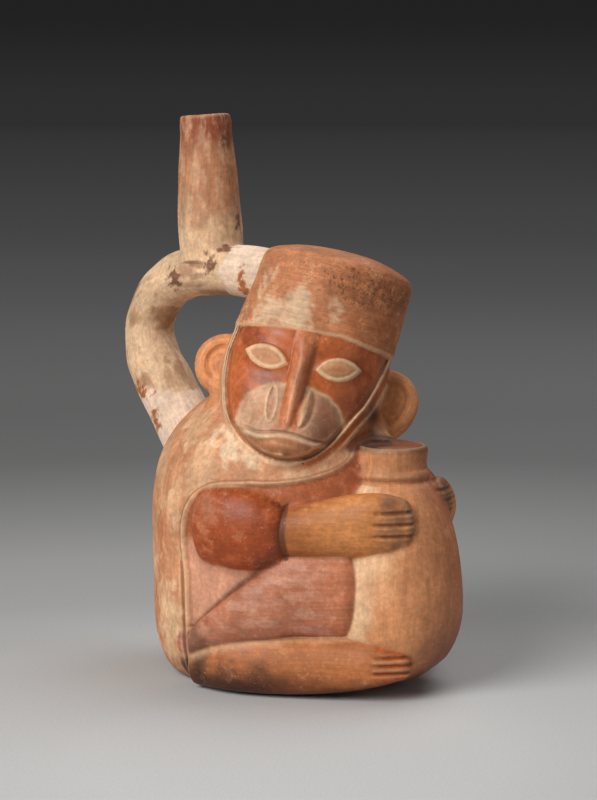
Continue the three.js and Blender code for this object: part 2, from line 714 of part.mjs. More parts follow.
function legPiece(footAngle, rise, sink) {
  const span = TOE_SPREAD.map((angle) => footAngle + angle);
  const height = LUTE_GAP + TOE_RADIUS * (1 + DIGIT_PITCH * (TOE_COUNT - 1) / 2);
  const toes = digits(TOE_COUNT, TOE_RADIUS, height, span, TOE_DEPTH);
  return geometryOf(cutAll(joinAll([shinForm(footAngle), thighForm(), ...toes].map(solidOf)), [
    ...hosts,
    solidOf(armForm(LUTE_GAP, rise, sink)),
  ]));
}

piece(figure, 'right_arm', armPiece(0, 0), RED_SLIP);
piece(figure, 'left_arm', mirrored(armPiece(LEFT_HAND_RISE, LEFT_HAND_SINK)), RED_SLIP);
piece(figure, 'right_leg', legPiece(RIGHT_FOOT_ANGLE, 0, 0), OCHRE_SLIP);
piece(figure, 'left_leg', mirrored(legPiece(LEFT_FOOT_ANGLE, LEFT_HAND_RISE, LEFT_HAND_SINK)), OCHRE_SLIP);

// Jar: a shell open to the body's chamber, and a closed collar.
const jarShell = cutAll(solidOf(jarForm(0)), [
  solidOf(jarForm(-JAR_WALL)),
  solidOf(into(jar, bodyCutter)),
]);
const collar = cutAll(solidOf(collarForm(0)), [
  solidOf(collarHollow()),
  solidOf(into(jar, bodyCutter)),
]);
piece(jar, 'jar_body', geometryOf(jarShell), JAR_SLIP);
piece(jar, 'jar_collar', geometryOf(collar), JAR_SLIP);

// Head: two halves that meet at the ears, the ears, and the cap.
const headShell = cutAll(solidOf(headForm(0, true)), [
  solidOf(headHollowForm()),
  solidOf(into(head, bodyCutter)),
]);
const headFront = headShell.intersect(halfSpace(-1, -LUTE_GAP / 2));
const headBack = headShell.intersect(halfSpace(1, LUTE_GAP / 2));
piece(head, 'head_front_half', geometryOf(headFront), RED_SLIP);
piece(head, 'head_back_half', geometryOf(headBack), CAPE_SLIP);

const earHosts = [
  solidOf(headForm(LUTE_GAP, true)),
  solidOf(into(head, bodyCutter)),
  solidOf(into(head, collarCutter)),
  solidOf(capBandForm(LUTE_GAP)),
];
const rightEar = cutAll(solidOf(earForm(-1, RIGHT_EAR_DROP)), earHosts);
const leftEar = cutAll(solidOf(earForm(1, LEFT_EAR_DROP)), earHosts);
piece(head, 'right_ear', geometryOf(rightEar), EAR_SLIP);
piece(head, 'left_ear', geometryOf(leftEar), EAR_SLIP);

const capBand = cutAll(solidOf(capBandForm(0)), [
  solidOf(pipe(CAP_RADIUS - CAP_WALL, 0, 2 * CAP_TOP_SEAT)),
  solidOf(into(head, boreTube)),
]);
piece(head, 'cap_band', geometryOf(capBand), CAP_SLIP);
piece(head, 'cap_top', capTopForm(0), CAP_SLIP);

// Stirrup: front and rear arches, the spout, and the plaster at both ends.
const spoutBoreSolid = solidOf(spoutBore());
const boreSolid = solidOf(boreTube);
const frontFill = cutAll(solidOf(stirrupTube(0, FRONT_FILL_SHARE, TUBE_RADIUS, TUBE_RADIUS)), [
  boreSolid,
  solidOf(outOf(head, capBandForm(LUTE_GAP))),
  solidOf(outOf(head, capTopForm(LUTE_GAP))),
]);
const frontArch = cutAll(
  solidOf(stirrupTube(FRONT_FILL_SHARE + GAP_SHARE, SPOUT_SHARE, TUBE_RADIUS, TUBE_RADIUS)),
  [boreSolid, spoutBoreSolid],
);
const rearArch = cutAll(
  solidOf(stirrupTube(SPOUT_SHARE + GAP_SHARE, REAR_FILL_SHARE, TUBE_RADIUS, TUBE_RADIUS)),
  [boreSolid, spoutBoreSolid],
);
const rearFill = cutAll(
  solidOf(stirrupTube(REAR_FILL_SHARE + GAP_SHARE, 1, TUBE_RADIUS, REAR_FOOT_RADIUS)),
  [boreSolid, solidOf(bodyCutter)],
);
const archCutter = stirrupTube(0, REAR_FILL_SHARE, TUBE_RADIUS + LUTE_GAP, TUBE_RADIUS + LUTE_GAP);
const spout = cutAll(solidOf(spoutForm()), [spoutBoreSolid, solidOf(archCutter)]);
piece(stirrup, 'front_joint_fill', geometryOf(frontFill), PLASTER);
piece(stirrup, 'stirrup_front_arch', geometryOf(frontArch), CREAM_SLIP);
piece(stirrup, 'stirrup_rear_arch', geometryOf(rearArch), CREAM_SLIP);
piece(stirrup, 'rear_joint_fill', geometryOf(rearFill), PLASTER);
piece(stirrup, 'spout', geometryOf(spout), SPOUT_SLIP);

export default vessel;
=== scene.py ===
"""Looks of the stirrup-spout bottle in the form of a seated monkey with a jar.

The outside of the bottle is one distance field in millimetres. It is meshed once, shared out among
the pieces of the frame, and painted with slips, lines, stains and plaster, and in places with painted light
and shade.
"""

import math
from types import SimpleNamespace

import bpy
import numpy as np
from mathutils import Matrix, Vector


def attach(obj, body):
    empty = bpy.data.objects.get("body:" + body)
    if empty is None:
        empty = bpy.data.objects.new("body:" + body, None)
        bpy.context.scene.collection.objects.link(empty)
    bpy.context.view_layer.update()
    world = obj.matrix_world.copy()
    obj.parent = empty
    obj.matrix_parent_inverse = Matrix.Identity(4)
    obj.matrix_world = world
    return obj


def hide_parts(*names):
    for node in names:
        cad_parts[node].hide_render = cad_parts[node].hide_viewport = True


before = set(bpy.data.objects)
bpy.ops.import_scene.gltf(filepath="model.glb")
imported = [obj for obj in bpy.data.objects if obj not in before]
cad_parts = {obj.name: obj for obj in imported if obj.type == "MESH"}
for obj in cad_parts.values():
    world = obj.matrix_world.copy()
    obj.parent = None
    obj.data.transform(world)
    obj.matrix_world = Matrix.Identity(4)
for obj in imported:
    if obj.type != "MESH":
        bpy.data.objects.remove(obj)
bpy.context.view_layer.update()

MM = 0.001

# Meshing: edge of a cell, cells along a block, the box that is meshed and the thickness of a piece.
CELL = 0.86
BLOCK = 8
GRID_LOW = np.array([-74.0, -98.0, -4.0])
GRID_HIGH = np.array([74.0, 112.0, 246.0])
SHELL = 1.4

# Centres and reaches within which forms are worked out. The head's are in its own frame.
LIMBS = ((0, -50, 45), 95)
ARCH = ((0, 50, 130), 95)
NECK = ((0, 55, 205), 60)
HEAD_REACH = 66
CAP_REACH = 75
EAR_REACH = 36

# Distances given to a form out of reach and to a line that isn't drawn, and the reach of a line.
FAR = 40.0
NO_LINE = 9.0
LINE_REACH = 2.0

# Body, jar and stirrup, in millimetres. The figure faces -Y and its right side is -X.
BASE_RADIUS = 47.0
JAR_AXIS_Y = -58.0
JAR_HEIGHT = 90.0
ARCH_HEIGHT = 171.5
SPOUT_BACK = 51.6
SPOUT_LEAN = math.radians(3.85)
BORE_RADIUS = 7.4
TUBE_RADIUS = 11.3
FOOT_RADIUS = 13.2
FRONT_FILL_END = 42.5
REAR_FILL_HEIGHT = 119.0

# Head, turned to its right, leaning to its left and tipped back.
HEAD_CENTRE = np.array([-5.0, -14.0, 130.0])
HEAD_TURN = math.radians(48)
HEAD_LEAN = math.radians(14)
HEAD_TIP = math.radians(10)
HEAD_HALF_WIDTH = 34.6
CHIN_DROP = 39.0
BROW_RISE = 15.0
CAP_TOP = 46.6
EAR_PLACES = {"right": (-35.2, 3.0, -5.0), "left": (35.4, 3.0, -2.8)}
EAR_RADIUS = 13.4

# The face has its own middle line, a little aside of the head's and less tilted.
FACE_ASIDE = -3.5
FACE_TILT = math.radians(3.2)
EYE_MIDDLE = 0.7
EYE_ASIDE = 15.3
EYE_RISE = 1.8
EYE_TILT = math.radians(10.6)
EYE_LENGTH = 18.4
EYE_HEIGHT = 9.4


# Small mathematics.


def ease(value, low, high):
    """0 at low, 1 at high and smooth between them."""
    t = np.clip((value - low) / (high - low), 0, 1)
    return t * t * (3 - 2 * t)


def bump(value, centre, spread):
    """A soft hill, 1 at its centre."""
    return np.exp(-(((value - centre) / spread) ** 2))


def smooth_min(a, b, blend):
    h = np.clip(0.5 + 0.5 * (b - a) / blend, 0, 1)
    return b + (a - b) * h - blend * h * (1 - h)


def smooth_max(a, b, blend):
    return -smooth_min(-a, -b, blend)


def squarish(a, b, power):
    """Radius of a place in the plane, measured so that a circle turns squarish above a power of 2."""
    return (a**power + b**power) ** (1 / power)


def tilted(a, b, angle):
    """A place in the plane along and across an axis that is tilted by an angle."""
    c = math.cos(angle)
    s = math.sin(angle)
    return a * c + b * s, b * c - a * s


def spot(p, centre, sizes):
    """Distance from a centre, as a share of half sizes."""
    return np.linalg.norm((p - centre) / sizes, axis=1)


def flat(first, second):
    """Places in a plane, as rows of three."""
    return np.column_stack([first, second, np.zeros(len(first))])


def grid_places(*axes):
    return np.stack(np.meshgrid(*axes, indexing="ij"), -1)


def right_side(p):
    """Places mirrored to the figure's right side."""
    return np.column_stack([-np.abs(p[:, 0]), p[:, 1:]])


def spline(points, per_span=10):
    """Points on a smooth curve through the given ones."""
    p = np.asarray(points, float)
    p = np.vstack([2 * p[0] - p[1], p, 2 * p[-1] - p[-2]])
    knots = np.concatenate([[0], np.cumsum(np.linalg.norm(np.diff(p, axis=0), axis=1) ** 0.5)])
    spans = []
    for i in range(1, len(p) - 2):
        t = np.linspace(knots[i], knots[i + 1], per_span, endpoint=False)[:, None]
        rows = list(p[i - 1:i + 3])
        times = knots[i - 1:i + 3]
        for step in (1, 2, 3):
            rows = [
                (a * (end - t) + b * (t - start)) / (end - start)
                for a, b, start, end in zip(rows, rows[1:], times, times[step:])
            ]
        spans.append(rows[0])
    return np.vstack(spans + [p[-2:-1]])


def line_distance(points, line):
    """Distance to an open line in the plane, and the place of the nearest point from 0 to 1."""
    best = np.full(len(points), np.inf)
    place = np.zeros(len(points))
    for i, (a, b) in enumerate(zip(line[:-1], line[1:])):
        edge = b - a
        away = points - a
        t = np.clip(away @ edge / (edge @ edge + 1e-12), 0, 1)
        gap = ((away - t[:, None] * edge) ** 2).sum(1)
        nearer = gap < best
        best[nearer] = gap[nearer]
        place[nearer] = i + t[nearer]
    return np.sqrt(best), place / (len(line) - 1)


def polygon_distance(points, polygon):
    """Distance to a closed outline in the plane, negative inside it."""
    ring = np.vstack([polygon, polygon[:1]])
    gap, _ = line_distance(points, ring)
    inside = np.zeros(len(points), bool)
    for a, b in zip(ring[:-1], ring[1:]):
        if a[1] == b[1]:
            continue
        crosses = (a[1] > points[:, 1]) != (b[1] > points[:, 1])
        at = a[0] + (points[:, 1] - a[1]) * (b[0] - a[0]) / (b[1] - a[1])
        inside ^= crosses & (points[:, 0] < at)
    return np.where(inside, -gap, gap)


class Table:
    """Values on a square grid in a plane, read between its points."""

    def __init__(self, low, high, step, function):
        grid = grid_places(*[np.arange(a, b + step, step) for a, b in zip(low, high)])
        self.low = low
        self.step = step
        self.values = function(grid.reshape(-1, 2)).reshape(grid.shape[:2])

    def __call__(self, first, second):
        top = np.array(self.values.shape) - 1.001
        u = np.clip((first - self.low[0]) / self.step, 0, top[0])
        v = np.clip((second - self.low[1]) / self.step, 0, top[1])
        i = u.astype(int)
        j = v.astype(int)
        u = u - i
        v = v - j
        values = self.values
        lower = values[i, j] * (1 - u) + values[i + 1, j] * u
        upper = values[i, j + 1] * (1 - u) + values[i + 1, j + 1] * u
        return lower * (1 - v) + upper * v


def line_tables(line, low, high):
    """Tables of the distance to a line in the plane and of the nearest place along it."""
    return [Table(low, high, 0.5, lambda points, k=k: line_distance(points, line)[k]) for k in (0, 1)]


def turned(outline, margin=16, step=0.35):
    """Distance table over radius and height for a solid turned about an upright axis."""
    outline = np.asarray(outline, float)
    ring = np.vstack([outline, outline[::-1] * [-1, 1]])
    low = (0, outline[:, 1].min() - margin)
    high = (outline[:, 0].max() + margin, outline[:, 1].max() + margin)
    return Table(low, high, step, lambda points: polygon_distance(points, ring))


class Roll:
    """A clay roll on the figure's right, through stations about the body's axis and then about the jar's.

    A station is an angle from the front in degrees, radius, height, half thickness and half height.
    """

    def __init__(self, on_body, on_jar=()):
        stations = []
        for axis_y, rows in ((0, on_body), (JAR_AXIS_Y, on_jar)):
            for degrees, radius, *rest in rows:
                a = math.radians(degrees)
                stations.append((-radius * math.sin(a), axis_y - radius * math.cos(a), *rest))
        self.path = spline(stations, 8)
        self.share = np.linspace(0, 1, len(self.path))
        plan = self.path[:, :2]
        self.gap, self.place = line_tables(plan, plan.min(0) - 30, plan.max(0) + 30)

    def __call__(self, p):
        """Distance to the roll, and the nearest place along it."""
        x, y, z = p.T
        place = self.place(x, y)
        middle, thick, tall = [np.interp(place, self.share, self.path[:, k]) for k in (2, 3, 4)]
        across = self.gap(x, y)
        up = z - middle
        k0 = np.hypot(across / thick, up / tall)
        k1 = np.hypot(across / thick**2, up / tall**2)
        return k0 * (k0 - 1) / np.maximum(k1, 1e-3), place


# Forms turned on a wheel or in a mould.

BODY = turned([(0, 0), (48.5, 0), *spline([
    (50, 0.2), (53.8, 2.2), (57, 7.4), (60, 17), (61.3, 34), (61.5, 64), (59.9, 86), (55.6, 99.5),
    (48.2, 109.5), (38.4, 117.6), (27.5, 122.3), (13, 124.6), (0, 125),
])])

# Every form is rounded in to the base below.
BOWL = turned([(0, 0), (48.5, 0), *spline([
    (53, 0.2), (58, 0.9), (65, 2.7), (75, 6.8), (88, 12.2), (106, 18.5),
]), (106, 180), (0, 180)], 2, 0.5)

JAR = turned([(0, 2), *spline([
    (12, 5), (23.4, 13.5), (28.6, 24), (30, 36), (29.2, 52), (26.8, 68), (22.6, 80), (17.8, 87.4),
    (15.8, 89.6), (16.5, 91.2), (16.2, 92.8), (15, 94.2), (14.8, 97), (15.2, 100.6), (15, 102.4),
    (13.9, 103.4), (12.2, 103), (9.6, 102), (5, 101.8), (0, 101.8),
], 6)])

CAP = turned([(0, 12), *spline([
    (28, 13), (32.4, 13.5), (33.4, 14.4), (33.6, 16.4), (33.3, 18), (33.3, 22), (33, 32), (32.4, 42),
    (32, 45.4), (30.6, 47.8), (26, 50.1), (18, 52.3), (9, 53.5), (0, 53.9),
], 8)])

SPOUT = turned([(BORE_RADIUS, 4), (13.6, 4), *spline([
    (13.7, 8), (13.9, 13), (14, 18), (13.8, 30), (13, 46), (11.6, 60), (11, 67.4), (10.7, 68.2),
    (10.1, 68.5), (8.9, 68.2), (8.1, 66.4), (7.7, 60), (7.5, 30), (BORE_RADIUS, 4.2),
], 8)])


def head_width(up):
    """Half width of the head from the chin to the brow."""
    below = np.clip(-up / CHIN_DROP, 0, 1)
    jaw = HEAD_HALF_WIDTH * np.sqrt(np.maximum(1 - below**3, 0))
    return np.where(up < 0, jaw, HEAD_HALF_WIDTH - 1.5 * up / BROW_RISE)


HEAD_LEVELS = np.concatenate([-CHIN_DROP * np.cos(np.linspace(0, math.pi / 2, 40)) ** 0.7, [BROW_RISE]])
HEAD = turned([(0, -CHIN_DROP), *zip(head_width(HEAD_LEVELS), HEAD_LEVELS), (29, 24), (0, 24)])


# Limbs, as on the figure's right side. The left ones mirror them, but for a forearm and a shin.

UPPER_ARM = Roll([
    (81, 57, 69.6, 9.2, 16.8), (70, 57.6, 69.4, 9.8, 17.6), (60, 57.6, 69, 9.8, 17),
    (55, 57.6, 68.6, 9.4, 15.4),
])
FOREARM = Roll([(62, 55, 67.6, 7.4, 9.4), (48, 57.4, 69, 8.4, 10.6)], [
    (86, 28.4, 72.6, 8.4, 12.8), (66, 26, 73.8, 7.6, 12.8), (50, 25.4, 74.2, 6.6, 12),
    (38, 25, 74.3, 5.4, 10.4),
])
LEFT_FOREARM = Roll([(62, 55, 68.6, 7.4, 9.4), (48, 57.6, 70.5, 8.6, 10.4)], [
    (86, 27, 73.4, 8, 11), (66, 22.2, 77.8, 6.6, 10.6), (50, 19.6, 80, 5.4, 10), (38, 18.8, 80, 4.6, 9.2),
])
THIGH = Roll([
    (94, 57.5, 17, 7, 6.5), (78, 57.5, 27.5, 8.3, 9.6), (66, 57.8, 34.5, 9, 12.6), (54, 58, 40, 9.2, 16),
    (46, 58, 43, 9, 17.8),
], [(91, 29, 44.2, 7, 18.4)])
SHIN = Roll([(94, 56, 9.6, 7.5, 9.2), (72, 56.6, 12.2, 8.8, 12.8), (52, 57, 12.4, 9.2, 13.2)], [
    (84, 27, 13, 9, 13), (62, 25, 14, 8, 11.4), (42, 24, 15, 6.5, 7.4),
])
LEFT_SHIN = Roll([(94, 56, 10.4, 7.5, 7), (72, 56.6, 13.6, 8.8, 9.8), (56, 57, 15.2, 9, 12.4)], [
    (104, 27.5, 17.6, 8.4, 11), (80, 25, 18.8, 6.4, 8.4),
])
FINGER_LINES = (69.6, 74.4, 79.2)
LEFT_FINGER_LINES = (75.6, 80.2, 84.8)
TOE_LINES = (12.6, 15.8, 19)

# Limbs with digits, right and left: the roll, and the heights and end angles of the grooves on it.
FOREARMS = ((FOREARM, FINGER_LINES, 64, 12), (LEFT_FOREARM, LEFT_FINGER_LINES, 64, 12))
SHINS = ((SHIN, TOE_LINES, 64, 12), (LEFT_SHIN, TOE_LINES, 96, 50))

# The stirrup's middle line behind the axis and upward, and its tables.
STIRRUP_LINE = spline([
    (-8, 170.2), (20, 171), (SPOUT_BACK, ARCH_HEIGHT), (71.2, 167.6), (85.2, 159.2), (93.4, 145),
    (91, 129.8), (82.9, 117.6), (66, 94.4), (49, 70),
], 12)
STIRRUP_GAP, STIRRUP_PLACE = line_tables(STIRRUP_LINE, (-40, 40), (130, 205))


# Outlines drawn on the body and the face.

# Edge of the cape, as degrees from the front and height, round the bare front of the figure.
CAPE_EDGE = spline([
    (13, 104), (26, 96), (40, 92), (55, 90.2), (70, 89.6), (80, 88), (88, 83.4), (93, 77),
    (95.6, 69), (95.4, 60), (93.8, 50), (93.2, 40), (93, 25), (93.6, 8), (94, -12),
], 6)
# Millimetres along the body's side to a degree.
ARC = math.radians(1) * 62
BARE_FRONT = np.vstack([(-40, 108), CAPE_EDGE, (-40, -12)]) * [ARC, 1]
CAPE = Table((-6, -14), (190 * ARC, 130), 0.5, lambda points: polygon_distance(points, BARE_FRONT))

FACE_OUTLINE = spline([
    (-26.5, 30), (-28.6, 10.4), (-30.2, 1.3), (-29.6, -9.5), (-28.6, -15), (-26, -23.4), (-20.3, -31.7),
    (-10, -38.4), (0, -39.8), (10.5, -36.4), (16.8, -30.6), (20.8, -24.9), (25, -17.2), (29, -10.4),
    (34, 5), (38, 30),
], 6)
MOUTH = (0.6, -28.4)
# Nostrils: top, foot and half width.
RIGHT_LEAF = ((-9, -9.6), (-8.2, -25.2), 2.2)
LEFT_LEAF = ((6.2, -9.4), (5.2, -25), 2.4)


def eye_distance(u, v):
    """Distance to the outline of either almond eye, negative inside."""
    along, across = tilted(np.abs(u - EYE_MIDDLE) - EYE_ASIDE, v - EYE_RISE, EYE_TILT)
    radius = (EYE_LENGTH**2 + EYE_HEIGHT**2) / (4 * EYE_HEIGHT)
    return np.hypot(along, np.abs(across) + radius - EYE_HEIGHT / 2) - radius


def mouth_height(u):
    return MOUTH[1] - 1.8 * bump(u, -11.5, 6) - 1.4 * bump(u, 12, 6)


def muzzle_reach(u, v):
    """1 on the rim of the muzzle and 0 at the middle of the mouth."""
    up = v - MOUTH[1]
    tall = np.where(up > 0, 20.4, 12.5)
    return squarish(np.abs(u - MOUTH[0]) / 22.8, np.abs(up / tall), 2.4)


def nose_share(u, v):
    """1 on the ridge of the nose, 0 at its sides and beyond."""
    width = np.interp(v, [-27, -20, -12, 0, 14], [3.8, 4.5, 4.4, 4.3, 5.4])
    middle = np.interp(v, [-27, -14, 10], [-0.3, -0.3, 0.7])
    return np.clip(1 - ((u - middle) / width) ** 2, 0, 1)


def leaf_distance(u, v, leaf):
    """Distance to the edge of a nostril, a leaf shape beside the nose, negative inside."""
    (top_u, top_v), (foot_u, foot_v), half = leaf
    share = np.clip((top_v - v) / (top_v - foot_v), 0, 1)
    middle = top_u + (foot_u - top_u) * share
    beyond = np.maximum(np.maximum(v - top_v, foot_v - v), 0)
    return np.abs(u - middle) - half * np.sqrt(np.sin(math.pi * share)) + beyond


def second_rim(u):
    """Share of a second rim round the face, on the figure's left."""
    return ease(u, 2, 14)


def face_relief(points):
    """Height of the face above the plain head."""
    u, v = points.T
    edge = polygon_distance(points, FACE_OUTLINE)
    field = ease(-edge, 0, 2)
    border = 1.1 * bump(edge, 1.1, 0.9) - 0.5 * bump(edge, -0.4, 0.6)
    border += 0.9 * second_rim(u) * bump(edge, 4.6, 0.8)
    eye = eye_distance(u, v)
    eyes = 0.7 * bump(eye, -0.6, 0.8) + 0.8 * ease(-eye, 0.4, 3.2) - 0.5 * bump(eye, 3, 2.8)
    brow = 1.2 * bump(v, 11.5, 4.6) * bump(np.abs(u - 1), 12, 10)
    height = np.interp(v, [-28.5, -26.5, -24, -14, 0, 11, 15], [3, 5.8, 6.8, 6.2, 4.4, 2.4, 1])
    nose = height * nose_share(u, v)
    reach = muzzle_reach(u, v)
    muzzle = 5 * ease(1 - reach, -0.05, 0.75) + 0.5 * ease(1 - reach, -0.01, 0.05)
    right_leaf = leaf_distance(u, v, RIGHT_LEAF)
    left_leaf = leaf_distance(u, v, LEFT_LEAF)
    leaves = 0.6 * bump(right_leaf, 0, 0.8) - 0.4 * ease(-right_leaf, 0.4, 1.4)
    leaves += 1.3 * ease(-left_leaf, -0.4, 1.9) - 0.4 * bump(left_leaf, 0.8, 0.7)
    below = v - mouth_height(u)
    lips = 0.8 * bump(below, -1.4, 1.2) - 0.8 * bump(below, 0.3, 0.6) - 0.5 * ease(-below, 2, 4)
    lips *= ease(np.abs(u - MOUTH[0]), 21, 17)
    chin = 1.6 * bump(v, -33.4, 3) * bump(u, 0, 11)
    return field * (eyes + brow + smooth_max(nose, muzzle + leaves, 1.3) + lips + chin) + border


FACE_GRID = ((-46, -56), (46, 34), 0.25)
FACE_RELIEF = Table(*FACE_GRID, face_relief)
FACE_EDGE = Table(*FACE_GRID, lambda points: polygon_distance(points, FACE_OUTLINE))


# The whole outside.

HEAD_TURNS = ((-HEAD_TURN, "Z"), (HEAD_LEAN, "Y"), (-HEAD_TIP, "X"))
HEAD_FRAME = np.linalg.multi_dot([np.array(Matrix.Rotation(angle, 3, axis)) for angle, axis in HEAD_TURNS])


def head_place(p):
    """Places in the head's own upright frame, where the face looks along -Y."""
    return (p - HEAD_CENTRE) @ HEAD_FRAME


def face_place(q):
    """Places across and up the face from a place in the head's frame."""
    return tilted(q[:, 0] - FACE_ASIDE, q[:, 2], FACE_TILT)


def head_forward(up):
    """How far the middle of the head lies before its axis at a height."""
    fall = np.clip((BROW_RISE - up) / (BROW_RISE + CHIN_DROP), 0, 1)
    width = head_width(np.clip(up, -CHIN_DROP, BROW_RISE))
    return np.clip(32.6 + 7 * fall - np.maximum(width, 8), -2, 30)


def head_distance(q):
    x, y, z = q.T
    deep = y + head_forward(z)
    plain = HEAD(squarish(np.abs(x + 1.4), np.abs(deep), 2.3), z)
    return plain - ease(-deep, -6, 3) * FACE_RELIEF(*face_place(q))


def ear_distance(q, side):
    x, y, z = (q - EAR_PLACES[side]).T
    out = -x if side == "right" else x
    if side == "left":
        z = np.where(z < 0, 0.8 * z, z)
    rho = np.hypot(out, z)
    disc = np.hypot(np.maximum(rho - EAR_RADIUS + 3, 0), np.maximum(np.abs(y) - 0.3, 0)) - 3
    dish = ease(rho, 9.4, 7.6) + 0.35 * bump(rho, 8.6, 0.5) + 0.05 * np.cos(rho * 2.6)
    pad = np.sqrt((out + 7.5) ** 2 + (0.7 * (z + 3)) ** 2 + (1.3 * (y + 2.4)) ** 2) - 3.4
    ear = smooth_min(disc + ease(-y, 0, 2) * dish, pad, 0.8)
    if side == "right":
        along = np.clip((-z - 8) / 16, 0, 1)
        lobe = np.hypot(np.hypot(out - 0.4 + 2 * along, y + 2), z + 8 + 16 * along) - 3.4 - 0.8 * along
        ear = smooth_min(ear, lobe, 2)
    return ear


def cap_foot(q):
    """1 at the cap's lower edge and 0 at its top."""
    return ease(q[:, 2], 36, 16)


def cap_height(q):
    """Height on the cap, whose lower edge hangs unevenly, most over the figure's right temple."""
    hang = np.interp(q[:, 0], [-32, -20, -10, 0, 10, 20, 32], [1.8, 0.8, -0.4, -1.2, -2, -1, -0.4])
    return q[:, 2] + hang * cap_foot(q)


def cap_distance(q):
    x, y, z = q.T
    low = cap_foot(q)
    radius = squarish(np.abs(x - 0.06 * (z - 22)), np.abs(y), 2 + 0.3 * low)
    swell = 0.4 + 0.9 * ease(-x, 12, 33)
    return CAP(radius - swell * low, cap_height(q))


def stirrup_distance(p):
    x, y, z = p.T
    place = STIRRUP_PLACE(y, z)
    wobble = 0.14 * np.sin(place * 60 + 0.1 * x)
    radius = TUBE_RADIUS + (FOOT_RADIUS - TUBE_RADIUS) * ease(place, 0.5, 0.8) + wobble
    return np.hypot(x, STIRRUP_GAP(y, z)) - radius


def spout_place(p):
    """Radius and height about the spout's own axis."""
    aside, height = tilted(p[:, 1] - SPOUT_BACK, p[:, 2] - ARCH_HEIGHT, -SPOUT_LEAN)
    return np.hypot(p[:, 0], aside), height


def near(p, centre, reach, function):
    """Runs a distance function on the places within reach only; the others are FAR away."""
    inside = spot(p, centre, reach) < 1
    found = np.full(len(p), FAR)
    if inside.any():
        found[inside] = function(p[inside])
    return found


def jar_angle(p):
    """Degrees about the jar's axis from the front towards either side."""
    return np.degrees(np.arctan2(np.abs(p[:, 0]), JAR_AXIS_Y - p[:, 1]))


def grooves(p, heights, first, last):
    """Grooves between fingers or toes, between two angles on the jar."""
    angle = jar_angle(p)
    lines = sum(bump(p[:, 2], height, 0.9) for height in heights)
    return 0.9 * lines * ease(angle, first, first - 8) * ease(angle, last - 8, last)


def limb_distance(p, sides):
    """Distance to a limb with digits, which has its own form on each side of the figure."""
    half = right_side(p)
    right, left = [roll(half)[0] + grooves(half, *lines) for roll, *lines in sides]
    return np.where(p[:, 0] < 0, right, left)


def body_distance(p):
    """The round body, flattened at its left shoulder and behind the jar's collar."""
    x, y, z = p.T
    shoulder = 12 * ease(x, 2, 32) * ease(-y, 0, 28) * ease(z, 80, 106)
    behind_jar = 6 * bump(x, -4, 14) * ease(-y, 34, 48) * ease(z, 97, 103)
    return BODY(np.hypot(x, y), z) + shoulder + behind_jar


def forms(p):
    """Distance to each form of the bottle."""
    half = right_side(p)
    q = head_place(p)
    return SimpleNamespace(
        body=body_distance(p),
        jar=JAR(np.hypot(p[:, 0], p[:, 1] - JAR_AXIS_Y), p[:, 2]),
        upper_arm=near(half, *LIMBS, lambda s: UPPER_ARM(s)[0]),
        forearm=near(p, *LIMBS, lambda s: limb_distance(s, FOREARMS)),
        thigh=near(half, *LIMBS, lambda s: THIGH(s)[0]),
        shin=near(p, *LIMBS, lambda s: limb_distance(s, SHINS)),
        head=near(q, 0, HEAD_REACH, head_distance),
        cap=near(q, 0, CAP_REACH, cap_distance),
        right_ear=near(q, EAR_PLACES["right"], EAR_REACH, lambda s: ear_distance(s, "right")),
        left_ear=near(q, EAR_PLACES["left"], EAR_REACH, lambda s: ear_distance(s, "left")),
        stirrup=near(p, *ARCH, stirrup_distance),
        spout=near(p, *NECK, lambda s: SPOUT(*spout_place(s))),
    )


def hand_made(p):
    """Slow unevenness of clay shaped by hand."""
    x, y, z = p.T
    slow = np.sin(0.071 * x + 0.3) * np.sin(0.083 * y + 1.1) + np.sin(0.094 * z + 0.05 * x)
    quick = np.sin(0.21 * x + 0.11 * z) * np.sin(0.19 * y - 0.17 * z)
    return 0.28 * slow + 0.12 * quick


def cape_distance(p):
    """Distance over the surface to the edge of the cape, negative on the bare front."""
    angle = np.abs(np.degrees(np.arctan2(-p[:, 0], -p[:, 1])))
    return CAPE(angle * ARC, p[:, 2])


def outside(p):
    """Distance to the whole bottle."""
    x, y, z = p.T
    d = forms(p)
    edge = cape_distance(p)
    low = ease(z, 58, 46)
    bead = 0.7 * bump(edge, -0.6, 1.2) + low * 0.6 * bump(edge, 3.6, 1.1)
    step = 1.3 * ease(edge, 0.2, -2.6) - bead + low * 0.4 * bump(edge, 1.8, 0.8)
    trunk = smooth_min(d.body + step, d.jar, 3)
    sunk = 6 * ease(edge, -5, 1)
    fold = 1.1 * bump(d.thigh - trunk, 0.4, 1.1) * ease(z, 20, 32) * ease(d.jar - d.body, 0, 4)
    trunk = smooth_min(trunk, d.thigh + sunk, 1) + fold
    trunk = smooth_min(trunk, d.shin + sunk, 1.6)
    trunk = np.minimum(smooth_min(trunk, d.forearm, 1.8), smooth_min(trunk, d.upper_arm, 3))
    trunk = smooth_max(trunk, BOWL(np.hypot(x, y), z), 1.5)
    ears = np.minimum(d.right_ear, d.left_ear)
    head = smooth_min(smooth_min(d.head, ears, 2), d.cap, 0.6)
    handle = smooth_min(d.stirrup, d.spout, 3)
    whole = smooth_min(smooth_min(trunk, head, 3), handle, 3.5) + hand_made(p) * ease(z, 0, 8)
    radius, height = spout_place(p)
    bore = np.maximum(radius - BORE_RADIUS, -height)
    return np.maximum(np.maximum(whole, -bore), -z)


def slope(p, reach=0.35):
    """Direction in which the distance grows fastest, and the distance."""
    corners = np.array([[1, -1, -1], [-1, -1, 1], [-1, 1, -1], [1, 1, 1]], float)
    values = [outside(p + reach * corner) for corner in corners]
    direction = sum(value[:, None] * corner for value, corner in zip(values, corners)) / (4 * reach)
    return direction, sum(values) / 4


# Meshing.


